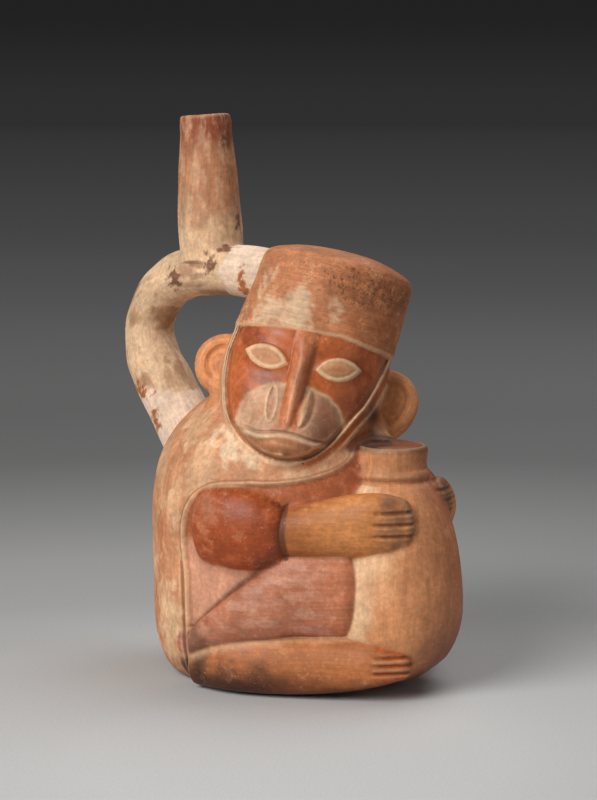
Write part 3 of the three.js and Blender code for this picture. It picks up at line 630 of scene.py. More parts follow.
def sample_grid():
    """Distances on a grid of cells, filled in closely only near the surface."""
    blocks = np.ceil(np.ceil((GRID_HIGH - GRID_LOW) / CELL) / BLOCK).astype(int)
    index = grid_places(*[np.arange(n) for n in blocks]).reshape(-1, 3)
    coarse = outside(GRID_LOW + (index + 0.5) * BLOCK * CELL)
    grid = np.empty(blocks * BLOCK + 1, np.float32)
    steps = grid_places(*[np.arange(BLOCK + 1)] * 3).reshape(-1, 3)
    close = np.abs(coarse) < 1.6 * BLOCK * CELL
    for (i, j, k), value in zip(index[~close] * BLOCK, coarse[~close]):
        grid[i:i + BLOCK + 1, j:j + BLOCK + 1, k:k + BLOCK + 1] = value
    starts = index[close] * BLOCK
    batch = 600
    for first in range(0, len(starts), batch):
        nodes = (starts[first:first + batch, None, :] + steps).reshape(-1, 3)
        grid[tuple(nodes.T)] = outside(GRID_LOW + nodes * CELL)
    return grid


def surface_net(grid):
    """Points and four-sided faces of the zero surface of a grid."""
    solid = grid < 0
    corners = [(i, j, k) for i in (0, 1) for j in (0, 1) for k in (0, 1)]
    cells = [n - 1 for n in grid.shape]
    some = np.zeros(cells, bool)
    every = np.ones(cells, bool)
    for c in corners:
        at_corner = solid[tuple(slice(start, start + n) for start, n in zip(c, cells))]
        some |= at_corner
        every &= at_corner
    active = np.argwhere(some & ~every)
    number = np.full(cells, -1, np.int32)
    number[tuple(active.T)] = np.arange(len(active))
    total = np.zeros((len(active), 3))
    count = np.zeros(len(active))
    for a in corners:
        for axis in range(3):
            if a[axis]:
                continue
            b = list(a)
            b[axis] = 1
            start = grid[tuple((active + a).T)]
            end = grid[tuple((active + b).T)]
            cut = (start < 0) != (end < 0)
            t = np.where(cut, start / np.where(cut, start - end, 1), 0)
            place = np.repeat(np.array(a, float)[None], len(active), 0)
            place[:, axis] = t
            total[cut] += place[cut]
            count[cut] += 1
    points = GRID_LOW + (active + total / count[:, None]) * CELL
    faces = []
    for axis in range(3):
        first, second = [(1, 2), (2, 0), (0, 1)][axis]
        edges = solid != np.roll(solid, -1, axis)
        edges[tuple(slice(-1, None) if k == axis else slice(None) for k in range(3))] = False
        at = np.argwhere(edges)
        at = at[(at[:, first] > 0) & (at[:, second] > 0)]
        at = at[(at[:, first] < cells[first]) & (at[:, second] < cells[second])]
        quad = []
        for da, db in ((1, 1), (0, 1), (0, 0), (1, 0)):
            cell = at.copy()
            cell[:, first] -= da
            cell[:, second] -= db
            quad.append(number[tuple(cell.T)])
        quad = np.stack(quad, 1)
        inward = ~solid[tuple(at.T)]
        quad[inward] = quad[inward][:, ::-1]
        faces.append(quad)
    return points, np.vstack(faces)


def settle(points, rounds):
    """Moves points on to the surface along its slope, and gives their outward directions."""
    for _ in range(rounds):
        direction, distance = slope(points)
        size = np.maximum((direction**2).sum(1), 0.2)
        points = points - direction * np.clip(distance / size, -CELL, CELL)[:, None]
    direction, _ = slope(points)
    return points, direction / np.linalg.norm(direction, axis=1)[:, None]


def face_edges(faces):
    """Start and end of each edge, face by face."""
    return np.stack([faces, np.roll(faces, -1, 1)], -1).reshape(-1, 2)


def refine(points, faces):
    """Parts each four-sided face into four."""
    unique, which = np.unique(np.sort(face_edges(faces), 1), axis=0, return_inverse=True)
    which = which.reshape(-1, 4) + len(points)
    hubs = np.arange(len(faces)) + len(points) + len(unique)
    more = np.vstack([points, points[unique].mean(1), points[faces].mean(1)])
    parts = [np.stack([faces[:, k], which[:, k], hubs, which[:, k - 1]], 1) for k in range(4)]
    return more, np.vstack(parts)


# Sharing the surface out among the pieces.


def node_names(p):
    """Name of the piece that each place on the surface belongs to."""
    x, y, z = p.T
    q = head_place(p)
    distances = vars(forms(p))
    order = list(distances)
    nearest = np.stack(list(distances.values())).argmin(0)
    names = np.full(len(p), "body_back_half", dtype="U24")

    def give(form, name, where=True):
        names[(nearest == order.index(form)) & where] = name

    give("body", "body_front_half", y < 0)
    for form, limb in (("upper_arm", "arm"), ("forearm", "arm"), ("thigh", "leg"), ("shin", "leg")):
        give(form, f"right_{limb}", x < 0)
        give(form, f"left_{limb}", x >= 0)
    give("jar", "jar_body")
    give("jar", "jar_collar", z > JAR_HEIGHT)
    give("head", "head_back_half")
    give("head", "head_front_half", q[:, 1] < 0)
    give("cap", "cap_band")
    give("cap", "cap_top", q[:, 2] > CAP_TOP)
    give("stirrup", "stirrup_front_arch")
    give("stirrup", "front_joint_fill", y < FRONT_FILL_END)
    give("stirrup", "stirrup_rear_arch", y > SPOUT_BACK)
    give("stirrup", "rear_joint_fill", z < REAR_FILL_HEIGHT)
    for form in ("right_ear", "left_ear", "spout"):
        give(form, form)
    names[(z < 0.4) & (np.hypot(x, y) < BASE_RADIUS)] = "base_disc"
    return names


# Paint.

# Slips and marks, and painted light and shade, as red, green and blue values on a screen.
SCREEN_COLOURS = {
    "cape": (200, 140, 100), "cape_orange": (190, 116, 74), "cream": (226, 188, 148),
    "bare": (186, 126, 88),
    "belly": (208, 148, 118), "chest": (176, 98, 60), "border": (214, 162, 122),
    "shoulder": (236, 204, 168),
    "jar": (210, 142, 94), "jar_brown_and_shade": (160, 87, 57), "jar_lit": (238, 192, 148),
    "jar_foot_shade": (124, 68, 46), "collar": (194, 132, 88), "jar_mouth_shade": (104, 60, 38),
    "hollow_shadow": (70, 36, 20), "soot_and_shade": (100, 52, 30),
    "thigh": (184, 116, 86), "thigh_brown": (176, 104, 74), "thigh_orange": (198, 118, 78),
    "thigh_wear_and_sheen": (216, 174, 152), "thigh_shade": (136, 82, 68), "fold": (104, 52, 32),
    "shin": (180, 108, 60), "shin_lower_shade": (112, 62, 36), "knee": (104, 66, 46), "burnt_and_shade": (54, 31, 21),
    "toes": (190, 94, 44),
    "forearm": (198, 127, 70), "forearm_brown": (164, 98, 50), "elbow": (150, 80, 36),
    "elbow_line": (84, 40, 24), "fingers": (154, 102, 68), "left_hand": (112, 68, 46),
    "smudge": (112, 72, 46),
    "arm": (156, 70, 27), "arm_dark": (116, 50, 30), "arm_streak": (180, 92, 48),
    "scuff_and_sheen": (190, 122, 88),
    "hood": (216, 160, 120), "hood_orange": (206, 128, 78), "hood_band": (190, 106, 56),
    "hood_shade": (84, 38, 22),
    "face": (186, 98, 52), "face_rim": (228, 184, 144), "face_dark": (132, 60, 34),
    "cheek_shade": (128, 60, 32),
    "muzzle": (198, 154, 122), "muzzle_orange": (190, 122, 82), "muzzle_shade": (142, 86, 58),
    "chin": (178, 118, 78), "nose": (190, 112, 72), "nostril": (196, 140, 100), "pale_lip_and_highlight": (234, 202, 170),
    "eye": (196, 140, 98), "eye_rim": (222, 178, 136), "pupil": (176, 104, 64),
    "cap": (186, 120, 80), "cap_orange": (178, 104, 60), "cap_patch": (212, 182, 148),
    "cap_rough": (182, 114, 74), "cap_pitted": (120, 72, 50),
    "ear": (222, 150, 98), "ear_rim": (164, 98, 60),
    "stirrup": (218, 182, 146), "stirrup_brown": (158, 112, 78), "stirrup_dark": (146, 92, 62),
    "spout": (185, 127, 90), "spout_lip": (140, 64, 35), "spout_streak": (214, 174, 140),
    "plaster": (228, 200, 176), "stain": (172, 90, 12), "chip": (116, 72, 52),
}


def linear(screen):
    """Linear colour from screen values."""
    share = np.array(screen) / 255
    return np.where(share <= 0.04045, share / 12.92, ((share + 0.055) / 1.055) ** 2.4)


# Linear colours of the slips, marks and painted light and shade.
SLIPS_AND_PAINTED_LIGHT = {name: linear(screen) for name, screen in SCREEN_COLOURS.items()}

# Stains and chips on the handle: place, half sizes and colour.
STAINS = [
    ((-9.6, 21.5, 165), (5, 2.6, 8), "stain"),
    ((-9.5, 86, 115), (8, 7, 3.5), "stain"),
    ((-12, 76, 103), (5, 3, 5), "stain"),
    ((-11, 65, 168), (5, 3.4, 4.5), "chip"),
    ((-10.7, 41.5, 174.5), (4, 3, 4), "chip"),
    ((-5.6, 36.6, 181.5), (4, 3.4, 2), "chip"),
    ((1.4, 43.8, 230), (3, 3, 4), "chip"),
    ((5, 39, 194), (2.4, 2, 4), "chip"),
]


def wave(p, size, seed):
    """Soft noise from -1 to 1 with features of about the given size."""
    total = np.zeros(len(p))
    source = np.random.default_rng(seed)
    for octave in range(3):
        for _ in range(4):
            direction = source.normal(size=3)
            direction *= (2 * math.pi / size) * 2**octave / np.linalg.norm(direction)
            total += np.sin(p @ direction + source.uniform(0, 6.3)) / 2**octave
    return total / 3.2


class Paint:
    """Colour, gloss, wear, pits, lines and brush strokes at places on the surface."""

    def __init__(self, p):
        self.p = p
        self.colour = np.repeat(SLIPS_AND_PAINTED_LIGHT["cape"][None], len(p), 0)
        self.gloss = np.full(len(p), 0.35)
        self.wear = np.full(len(p), 0.7)
        self.pit = np.full(len(p), 0.3)
        self.line = np.full(len(p), NO_LINE)
        self.grain = p * [0.3, 0.3, 0.12]

    def mottled(self, size, seed, low, high, stretch=1):
        """Soft patches, 0 where the noise is low and 1 where it is high."""
        return ease(wave(self.p * stretch, size, seed), low, high)

    def lay(self, mask, colour, **finish):
        """Lays a colour over the mask, and with it any of gloss, wear and pit."""
        if isinstance(colour, str):
            colour = SLIPS_AND_PAINTED_LIGHT[colour]
        mask = np.clip(mask, 0, 1)
        self.colour += (colour - self.colour) * mask[:, None]
        for name, value in finish.items():
            old = getattr(self, name)
            old += (value - old) * mask

    def draw(self, distance, where=True):
        """Draws a line at distance 0."""
        nearer = where & (np.abs(distance) < np.abs(self.line))
        self.line[nearer] = distance[nearer]

    def line_turn(self):
        """Distance to the nearest line as a turn, which stays smooth across the line and far from it."""
        turn = math.pi * np.clip(self.line / LINE_REACH, -1, 1)
        return flat(np.cos(turn), np.sin(turn))

    def brush(self, mask, along, across):
        """Sets the direction of the brush strokes within the mask."""
        self.grain = np.where(mask[:, None], flat(along * 0.1, across), self.grain)


def paint_body(paint, d):
    p = paint.p
    x, y, z = p.T
    lay = paint.lay
    edge = cape_distance(p) + 0.25 * wave(p, 14, 5)
    front = ease(edge, 0.4, -0.4)
    lay(paint.mottled(48, 12, 0.1, 0.8) * 0.6, "cape_orange")
    lay(paint.mottled(27, 11, 0.2, 0.6) * 0.4, "cream")
    lay(paint.mottled(10, 13, 0.5, 0.72) * 0.45, "cream")
    lay(front, "belly", gloss=0.5, wear=0.35, pit=0.15)
    lay(front * ease(z, 60, 66), "chest", gloss=0.6, wear=0.3)
    lay(front * ease(edge, -2.4, -1.7), "border", gloss=0.35)
    paint.draw(edge - 0.4)
    paint.draw(edge - 2, z < 54)
    jar = ease(d.jar - d.body + wave(p, 9, 3) * 0.5, 1, -1)
    angle = np.arctan2(x, JAR_AXIS_Y - y)
    lay(jar, "jar", gloss=0.5, wear=0.45, pit=0.15)
    lay(jar * ease(z, JAR_HEIGHT - 3, JAR_HEIGHT + 1), "collar")
    # Browner towards the jar's side on the figure's left: partly its slip, partly painted shade.
    lay(jar * ease(angle + 0.15 * wave(p, 30, 15), -0.7, 0.7) * 0.75, "jar_brown_and_shade")
    # Cream on the jar's edge on the figure's right: painted light.
    lay(jar * ease(angle + 0.1 * wave(p, 16, 16), -0.95, -1.3) * (z < 88) * 0.85, "cream")
    lit = ease(angle + 0.1 * wave(p, 16, 14), -0.5, -1.1) * bump(z, 62, 13)
    lay(jar * lit * 0.85, "jar_lit")
    paint.brush(jar > 0.5, 0.7 * z, 14 * angle)
    # Painted shade low on the jar, towards the figure's left.
    lay(jar * ease(z, 42, 10) * ease(angle, -0.7, 0.1) * 0.85, "jar_foot_shade")
    # Painted shade on the top of the collar, under the head.
    lay(jar * ease(z, 100.6, 102.4) * 0.8, "jar_mouth_shade")
    # Painted shadow in the hollow between the hood and the jar's collar.
    hollow_shadow = spot(p, (-6, -47, 104), (16, 9, 6)) + 0.2 * wave(p, 9, 17)
    lay(ease(hollow_shadow, 1.1, 0.6) * 0.85, "hollow_shadow")
    shoulder = spot(p, (-49.5, -18, 106), (12, 14, 9)) + 0.5 * wave(p, 8, 18)
    lay(ease(shoulder, 1.3, 0.5) * 0.9, "shoulder")
    flank = spot(p, (-54, 16, 24), (12, 12, 18)) + 0.5 * wave(p, 10, 10)
    lay(ease(flank, 1.2, 0.4) * ease(edge, 0, 2) * 0.65, "cream")


def paint_limbs(paint, d):
    p = paint.p
    x, y, z = p.T
    lay = paint.lay
    half = right_side(p)
    right = x < 0
    uneven = 0.3 * wave(p, 8, 21)

    def over(form, *rivals):
        other = np.minimum.reduce([d.body, d.jar, *rivals])
        return ease(form - other + uneven, 0.9, -0.9)

    digits = ease(jar_angle(p) + 3 * wave(p, 7, 20), 60, 52) * (y < -50)
    thigh = over(d.thigh, d.shin, d.forearm, d.upper_arm)
    lay(thigh, "thigh", gloss=0.55, wear=0.45, pit=0.15)
    lay(thigh * paint.mottled(26, 23, 0, 0.8) * 0.5, "thigh_brown")
    lay(thigh * ease(-y, 48, 66) * 0.7, "thigh_orange")
    streaky = paint.mottled(6, 34, -0.4, 0.5, [0.3, 0.3, 1])
    # Pale streaks along the thigh's ridge: partly wear, partly a painted highlight.
    lay(thigh * bump(d.thigh - d.body, -4, 3) * streaky * 0.28, "thigh_wear_and_sheen")
    lay(thigh * ease(z, 32, 20) * ease(np.abs(x), 30, 50) * streaky * 0.45, "thigh_shade")
    shin = over(d.shin, d.thigh)
    lay(shin, "shin", gloss=0.5, wear=0.35, pit=0.2)
    # Painted shade on the lower part of the shin.
    lay(shin * ease(z + 3 * wave(p, 18, 24), 15, 3) * 0.8, "shin_lower_shade")
    knee = spot(half, (-61, -6, 19), (8, 9, 12)) + 0.4 * wave(p, 11, 26)
    lay(np.maximum(shin, thigh) * ease(knee, 1.15, 0.4) * 0.7, "knee")
    # Dark low on the outer ends of the shins: partly soot, partly painted shadow near the floor.
    lay(shin * ease(z + 4 * wave(p, 14, 30), 18, 5) * ease(np.abs(x), 42, 57) * 0.95, "burnt_and_shade")
    # Painted highlight: a pale band along the top edge of the shin.
    lay(shin * ease(d.thigh - d.shin + uneven, 5, 0.5) * 0.5, "cream")
    toes = shin * digits
    lay(toes * 0.75, "toes")
    forearm = over(d.forearm, d.upper_arm, d.thigh)
    lay(forearm, "forearm", gloss=0.5, wear=0.3, pit=0.15)
    lay(forearm * paint.mottled(22, 28, 0.1, 0.9, [1, 1, 2.5]) * 0.35, "forearm_brown")
    lay(forearm * ease(-y, 64, 42) * 0.75, "elbow")
    fingers = forearm * digits
    lay(fingers * (0.6 + 0.35 * wave(p, 9, 25)), "fingers", gloss=0.4)
    lay(fingers * ~right * 0.6, "left_hand")
    smudge = spot(half, (-20, -80, 81), (8, 8, 7)) + 0.4 * wave(p, 8, 29)
    lay(forearm * ease(smudge, 1.2, 0.5) * 0.4, "smudge")
    upper_arm = over(d.upper_arm, d.forearm, d.thigh)
    lay(upper_arm, "arm", gloss=0.65, wear=0.25, pit=0.2)
    lay(upper_arm * paint.mottled(30, 27, -0.1, 0.7) * 0.7, "arm_dark")
    lay(upper_arm * paint.mottled(9, 38, 0.1, 0.8, [0.4, 0.4, 1]) * 0.4, "arm_streak")
    # A pale patch high on each upper arm: partly a scuff, partly a painted highlight.
    scuff_and_sheen = spot(half, (-63, -12, 78), (7, 12, 10)) + 0.5 * wave(p, 7, 32)
    lay(upper_arm * ease(scuff_and_sheen, 1.2, 0.4) * 0.6, "scuff_and_sheen")
    for mask, roll in ((thigh, THIGH), (shin, SHIN), (forearm, FOREARM), (upper_arm, UPPER_ARM)):
        paint.brush(mask > 0.5, 90 * roll(half)[1], z)
    hands = ((fingers * right, FINGER_LINES), (fingers * ~right, LEFT_FINGER_LINES), (toes, TOE_LINES))
    for mask, heights in hands:
        for height in heights:
            paint.draw(z - height, mask > 0.4)
    elbow = d.upper_arm - d.forearm
    joint = np.maximum(d.upper_arm, d.forearm) < 2
    lay(joint * bump(elbow, 0.6, 1.8) * 0.8, "elbow_line")
    paint.draw(elbow, joint)
    # Painted shadow in the fold where the belly meets the top of the thigh.
    belly = (z > 26) & (d.forearm > 3) & (np.abs(x) > 24)
    lay(belly * bump(d.thigh - d.body, 1, 2) * 0.7, "fold")


def paint_head(paint, d):
    p = paint.p
    lay = paint.lay
    q = head_place(p)
    u, v = face_place(q)
    head = ease(d.head - np.minimum(d.body, d.jar), 3, -1)
    on_head = (d.head < 4) & (d.head < d.jar + 1)
    front = ease(-(q[:, 1] + head_forward(q[:, 2])), -6, -2) * on_head
    edge = FACE_EDGE(u, v) + 0.15 * wave(p, 10, 31)
    face = front * ease(edge, 0.4, -0.4)
    second = second_rim(u)
    hood = SLIPS_AND_PAINTED_LIGHT["hood"] + (SLIPS_AND_PAINTED_LIGHT["hood_orange"] - SLIPS_AND_PAINTED_LIGHT["hood"]) * second[:, None]
    lay(head * 0.6, hood, gloss=0.35, wear=0.5)
    lay(front * second * ease(edge, 0.2, 0.8) * ease(edge, 5.4, 4.6), "hood_band")
    lay(front * ease(edge, 2.6 - second, 2 - second) * ease(edge, -0.4, 0.2), "face_rim")
    lay(front * second * bump(edge, 4.7, 0.8), "border")
    lay(on_head * bump(u, 34, 3.6) * bump(v, -13.5, 5) * (q[:, 1] < 8), "hood_shade")
    lay(face, "face", gloss=0.75, wear=0.25, pit=0.1)
    lay(face * paint.mottled(22, 33, 0, 0.8) * 0.6, "face_dark")
    # Painted shade over the cheek on the figure's left.
    lay(face * ease(u, 8, 22) * ease(v, 2, -10) * 0.6, "cheek_shade")
    reach = muzzle_reach(u, v) + 0.015 * wave(p, 7, 35)
    muzzle = face * ease(reach, 1.02, 0.97)
    lay(muzzle, "muzzle", gloss=0.6, wear=0.4)
    lay(muzzle * paint.mottled(15, 36, 0, 0.8) * 0.45, "muzzle_orange")
    # Painted shade on the muzzle's side towards the figure's left.
    lay(muzzle * ease(u, 3, 15) * 0.75, "muzzle_shade")
    lay(face * bump(reach, 1, 0.035) * (v > -27) * 0.6, "cream")
    below = v - mouth_height(u)
    lay(face * ease(below, 0, -1) * ease(reach, 1.2, 1), "chin", gloss=0.6)
    nose = ease(nose_share(u, v), 0, 0.25) * ease(v + 0.8 * wave(p, 6, 37), -28, -25)
    lay(face * nose, "nose", gloss=0.65, pit=0.3)
    lay(face * bump(leaf_distance(u, v, RIGHT_LEAF), 0, 0.7) * 0.45, "cream")
    lay(face * ease(leaf_distance(u, v, LEFT_LEAF), 0.3, -0.6) * 0.8, "nostril")
    # The pale lip band, brighter towards the figure's right as a painted highlight.
    pale_lip_and_highlight = bump(below, -1.3, 1) * ease(np.abs(u - MOUTH[0]), 20, 16)
    lay(face * pale_lip_and_highlight * np.interp(u, [-16, -4, 16], [1, 0.6, 0.35]), "pale_lip_and_highlight")
    eye = eye_distance(u, v)
    lay(face * ease(eye, 0.5, 0), "eye_rim", gloss=0.4)
    lay(face * ease(eye, -0.9, -2.2), "eye", gloss=0.45)
    lay(face * ease(eye, -2.6, -4.4) * 0.5, "pupil")


def paint_ears(paint, d):
    q = head_place(paint.p)
    for side, form in (("right", d.right_ear), ("left", d.left_ear)):
        x, _, z = (q - EAR_PLACES[side]).T
        rho = np.hypot(x, z)
        rest = np.minimum(d.head, d.body) + 2 * ease(-z, 5, 9)
        ear = ease(form - rest, 0.8, -0.4)
        paint.lay(ear, "ear", gloss=0.4, wear=0.3, pit=0.2)
        paint.lay(ear * ease(rho, 10.5, 13) * 0.4, "ear_rim")
        paint.brush(ear > 0.5, 13 * np.arctan2(z, x), rho)


def paint_cap(paint, d):
    p = paint.p
    lay = paint.lay
    q = head_place(p)
    x, y, z = q.T
    rest = np.minimum.reduce([d.head, d.stirrup, d.body])
    cap = ease(d.cap - rest, 0.5, -0.3)
    lay(cap, "cap", gloss=0.25, wear=0.6, pit=0.4)
    lay(cap * ease(x + 5 * wave(p, 16, 44), 2, 24) * 0.7, "cap_orange")
    patch = bump(x, -14, 19) * bump(z, 19, 13) * (y < 0)
    ragged = 0.4 * wave(p, 14, 41) + 0.2 * wave(p, 4, 42)
    lay(cap * ease(patch + ragged, 0.3, 0.9) * 0.75, "cap_patch", pit=0.15)
    rough = bump(x, 15, 20) * bump(z, 39, 9) * (y < 6)
    lay(cap * ease(rough, 0.2, 0.7), "cap_rough", pit=1)
    lay(cap * rough * paint.mottled(9, 43, -0.2, 0.6) * 0.6, "cap_pitted", gloss=0.1, pit=1)
    lay(cap * ease(cap_height(q), 15.8, 14.8), "border", gloss=0.3, pit=0.2)
    paint.brush(cap > 0.5, 31 * np.arctan2(x, -y), z)


def paint_stirrup(paint, d):
    p = paint.p
    x, y, z = p.T
    lay = paint.lay
    rest = np.minimum.reduce([d.body, d.cap, d.head])
    handle = np.minimum(d.stirrup, d.spout)
    mask = ease(handle - rest + 0.6 * wave(p, 12, 51), 1.2, -0.8)
    place = STIRRUP_PLACE(y, z)
    around = 11 * np.arctan2(x, STIRRUP_GAP(y, z))
    flow = flat(60 * place, around)
    lay(mask, "stirrup", gloss=0.3, wear=0.5, pit=0.3)
    lay(mask * ease(wave(flow, 13, 53), 0, 0.7) * 0.7, "stirrup_brown")
    lay(mask * ease(wave(flow, 5, 54) + 0.4 * wave(p, 30, 56), 0.5, 1) * 0.5, "stirrup_dark")
    paint.brush((mask > 0.5) & (d.stirrup < d.spout), 230 * place, around)
    _, height = spout_place(p)
    around = 12 * np.arctan2(x, y - SPOUT_BACK)
    flow = flat(around, 0.35 * height)
    spout = ease(d.spout - d.stirrup, 1, -2) * mask
    lay(spout * ease(height + 8 * wave(p, 17, 55), 16, 38), "spout", gloss=0.3, wear=0.6)
    lay(spout * ease(height + 3 * wave(p, 13, 58), 47, 62) * 0.88, "spout_lip")
    lay(spout * ease(height + 6 * wave(p, 9, 52), 26, 14) * 0.7, "cream")
    lay(spout * ease(wave(flow, 5, 60) - 0.03 * x, 0.1, 0.9) * 0.4, "spout_streak")
    paint.brush(spout > 0.5, height, around)
    ragged = 2.2 * wave(p, 11, 57)
    front_fill = (mask - spout) * ease(y + ragged, FRONT_FILL_END - 7, FRONT_FILL_END - 9)
    rear_fill = mask * ease(z + ragged, REAR_FILL_HEIGHT - 1.5, REAR_FILL_HEIGHT - 3.5) * (y > 40)
    lay(np.maximum(front_fill, rear_fill), "plaster", gloss=0.1, wear=0.15, pit=0.1)
    ragged = 0.7 * wave(p, 3.2, 59)
    for centre, sizes, colour in STAINS:
        lay(mask * ease(spot(p, centre, sizes) + ragged, 1.1, 0.7) * 0.9, colour, pit=0.8)


def painted(p):
    """Paint at places on the surface, with painted shade in creases and hollows and round the foot, and
    wear on edges.
    """
    z = p[:, 2]
    d = forms(p)
    paint = Paint(p)
    for layer in (paint_body, paint_limbs, paint_head, paint_ears, paint_cap, paint_stirrup):
        layer(paint, d)
    # Painted shade in creases and hollows, weaker on the head, and wear on ridges.
    _, lift = slope(p, 0.9)
    crease_shade = np.where(d.head < 4, 0.24, 0.4)
    paint.lay(ease(-lift, 0.03, 0.24) * crease_shade, "soot_and_shade")
    paint.lay(ease(lift, 0.08, 0.34) * 0.3, "cream")
    # Painted shade, darker towards the foot.
    paint.lay(ease(z + 2 * wave(p, 12, 19), 11, 1) * 0.45, "soot_and_shade")
    paint.lay(ease(z, 0.5, 0.1), "bare", gloss=0.1, wear=0.5)
    return paint


# Materials.


class Nodes:
    """Adds shader nodes to a material or a world and links them."""

    def __init__(self, owner):
        owner.use_nodes = True
        self.tree = owner.node_tree
        self.tree.nodes.clear()

    def add(self, kind, sockets=(), **settings):
        node = self.tree.nodes.new(f"ShaderNode{kind}")
        for name, value in settings.items():
            setattr(node, name, value)
        for name, value in dict(sockets).items():
            if isinstance(value, bpy.types.NodeSocket):
                self.tree.links.new(value, node.inputs[name])
            else:
                node.inputs[name].default_value = value
        return node

    def read(self, name, output):
        return self.add("Attribute", attribute_name=name).outputs[output]

    def math(self, operation, first, second=0.0):
        return self.add("Math", {0: first, 1: second}, operation=operation).outputs[0]

    def product(self, value, *factors):
        for factor in factors:
            value = self.math("MULTIPLY", value, factor)
        return value

    def total(self, value, *others):
        for other in others:
            value = self.math("ADD", value, other)
        return value

    def ramp(self, value, low, high, start=0.0, end=1.0):
        sockets = {"Value": value, "From Min": low, "From Max": high, "To Min": start, "To Max": end}
        return self.add("MapRange", sockets, interpolation_type="SMOOTHSTEP").outputs["Result"]

    def noise(self, vector, scale, detail=4.0, roughness=0.55):
        sockets = {"Vector": vector, "Scale": scale, "Detail": detail, "Roughness": roughness}
        return self.add("TexNoise", sockets).outputs["Fac"]

    def mix(self, factor, first, second, blend="MIX"):
        sockets = {0: factor, 6: first, 7: second}
        return self.add("Mix", sockets, data_type="RGBA", blend_type=blend).outputs[2]

    def grey(self, value):
        return self.add("CombineColor", {"Red": value, "Green": value, "Blue": value}).outputs[0]


def painted_clay(name):
    """Clay with slips and painted light and shade from the paint attributes, mottled, streaked, worn and
    scratched.
    """
    material = bpy.data.materials.new(name)
    nodes = Nodes(material)
    cream = (*SLIPS_AND_PAINTED_LIGHT["cream"], 1)
    soot_and_shade = (*SLIPS_AND_PAINTED_LIGHT["soot_and_shade"], 1)
    place = nodes.add("TexCoord").outputs["Object"]
    # The colour attribute holds the slips together with the painted light and shade.
    colour = nodes.read("slip_and_painted_light", "Color")
    gloss = nodes.read("gloss", "Fac")
    wear = nodes.read("wear", "Fac")
    pit = nodes.read("pit", "Fac")
    grain = nodes.read("grain", "Vector")
    turn = nodes.add("SeparateXYZ", {0: nodes.read("line", "Vector")}).outputs
    line = nodes.math("ABSOLUTE", nodes.math("ARCTAN2", turn["Y"], turn["X"]))
    line = nodes.product(line, LINE_REACH / math.pi)
    broad = nodes.noise(place, 60, 6, 0.62)
    patch = nodes.noise(place, 150, 8, 0.7)
    fine = nodes.noise(place, 480, 5, 0.65)
    dust = nodes.noise(place, 1000, 3, 0.6)
    streak = nodes.noise(grain, 1.1, 4, 0.6)
    stroke = nodes.noise(grain, 0.4, 5, 0.65)
    coarse = nodes.ramp(pit, 0, 0.8, 0.6, 1.0)
    for value, spread in ((broad, 0.15), (patch, 0.18), (fine, 0.16), (streak, 0.12), (stroke, 0.16)):
        shade = nodes.ramp(value, 0.3, 0.7, 1 - spread, 1 + spread)
        colour = nodes.mix(coarse, colour, nodes.grey(shade), "MULTIPLY")
    worn = nodes.product(nodes.ramp(patch, 0.54, 0.62), nodes.ramp(broad, 0.4, 0.6), wear)
    worn = nodes.product(worn, nodes.ramp(fine, 0.3, 0.6, 0.4, 1.0))
    colour = nodes.mix(nodes.product(worn, 0.5), colour, cream)
    pitted = nodes.ramp(nodes.total(patch, nodes.product(pit, 0.22)), 0.58, 0.68)
    pits = nodes.product(nodes.ramp(dust, 0.57, 0.61), pitted, nodes.ramp(pit, 0, 1, 0.2, 1.0))
    colour = nodes.mix(nodes.product(pits, 0.65), colour, soot_and_shade)
    chalk = nodes.product(nodes.ramp(dust, 0.4, 0.3), nodes.ramp(patch, 0.4, 0.6, 0.05, 0.35))
    colour = nodes.mix(chalk, colour, cream)
    drawn = nodes.ramp(line, 0.75, 0.15, 0.0, 0.42)
    colour = nodes.mix(drawn, colour, soot_and_shade)
    rough = nodes.total(nodes.ramp(gloss, 0.0, 1.0, 0.78, 0.3), nodes.ramp(fine, 0.3, 0.7, -0.07, 0.09))
    rough = nodes.total(rough, nodes.product(worn, 0.2))
    height = nodes.total(nodes.product(fine, 0.3), nodes.product(patch, 0.35), nodes.product(dust, 0.12))
    height = nodes.product(height, nodes.product(coarse, 1.3))
    for relief, share in ((streak, 0.08), (drawn, -0.6), (worn, -0.12), (pits, -0.5)):
        height = nodes.total(height, nodes.product(relief, share))
    relief = nodes.add("Bump", {"Height": height, "Strength": 0.6, "Distance": 0.6 * MM}).outputs[0]
    shader = nodes.add("BsdfPrincipled", {
        "Base Color": colour, "Roughness": rough, "Normal": relief, "Specular IOR Level": 0.38,
    })
    nodes.add("OutputMaterial", {"Surface": shader.outputs[0]})
    return material


SLOTS = {
    "body_front_half": "cape_slip", "body_back_half": "cape_slip", "base_disc": "bare_clay",
    "right_arm": "red_slip", "left_arm": "red_slip", "right_leg": "ochre_slip", "left_leg": "ochre_slip",
    "jar_body": "jar_slip", "jar_collar": "jar_slip", "head_front_half": "red_slip",
    "head_back_half": "cape_slip", "right_ear": "ear_slip", "left_ear": "ear_slip", "cap_band": "cap_slip",
    "cap_top": "cap_slip", "front_joint_fill": "plaster", "stirrup_front_arch": "cream_slip",
    "stirrup_rear_arch": "cream_slip", "rear_joint_fill": "plaster", "spout": "spout_slip",
}
FINE_PIECES = {"head_front_half", "right_ear", "left_ear", "right_arm", "left_arm", "right_leg", "left_leg"}
MATERIALS = {slot: painted_clay(slot) for slot in sorted(set(SLOTS.values()))}


# Pieces.


def add_object(name, data):
    thing = bpy.data.objects.new(name, data)
    bpy.context.scene.collection.objects.link(thing)
    return thing


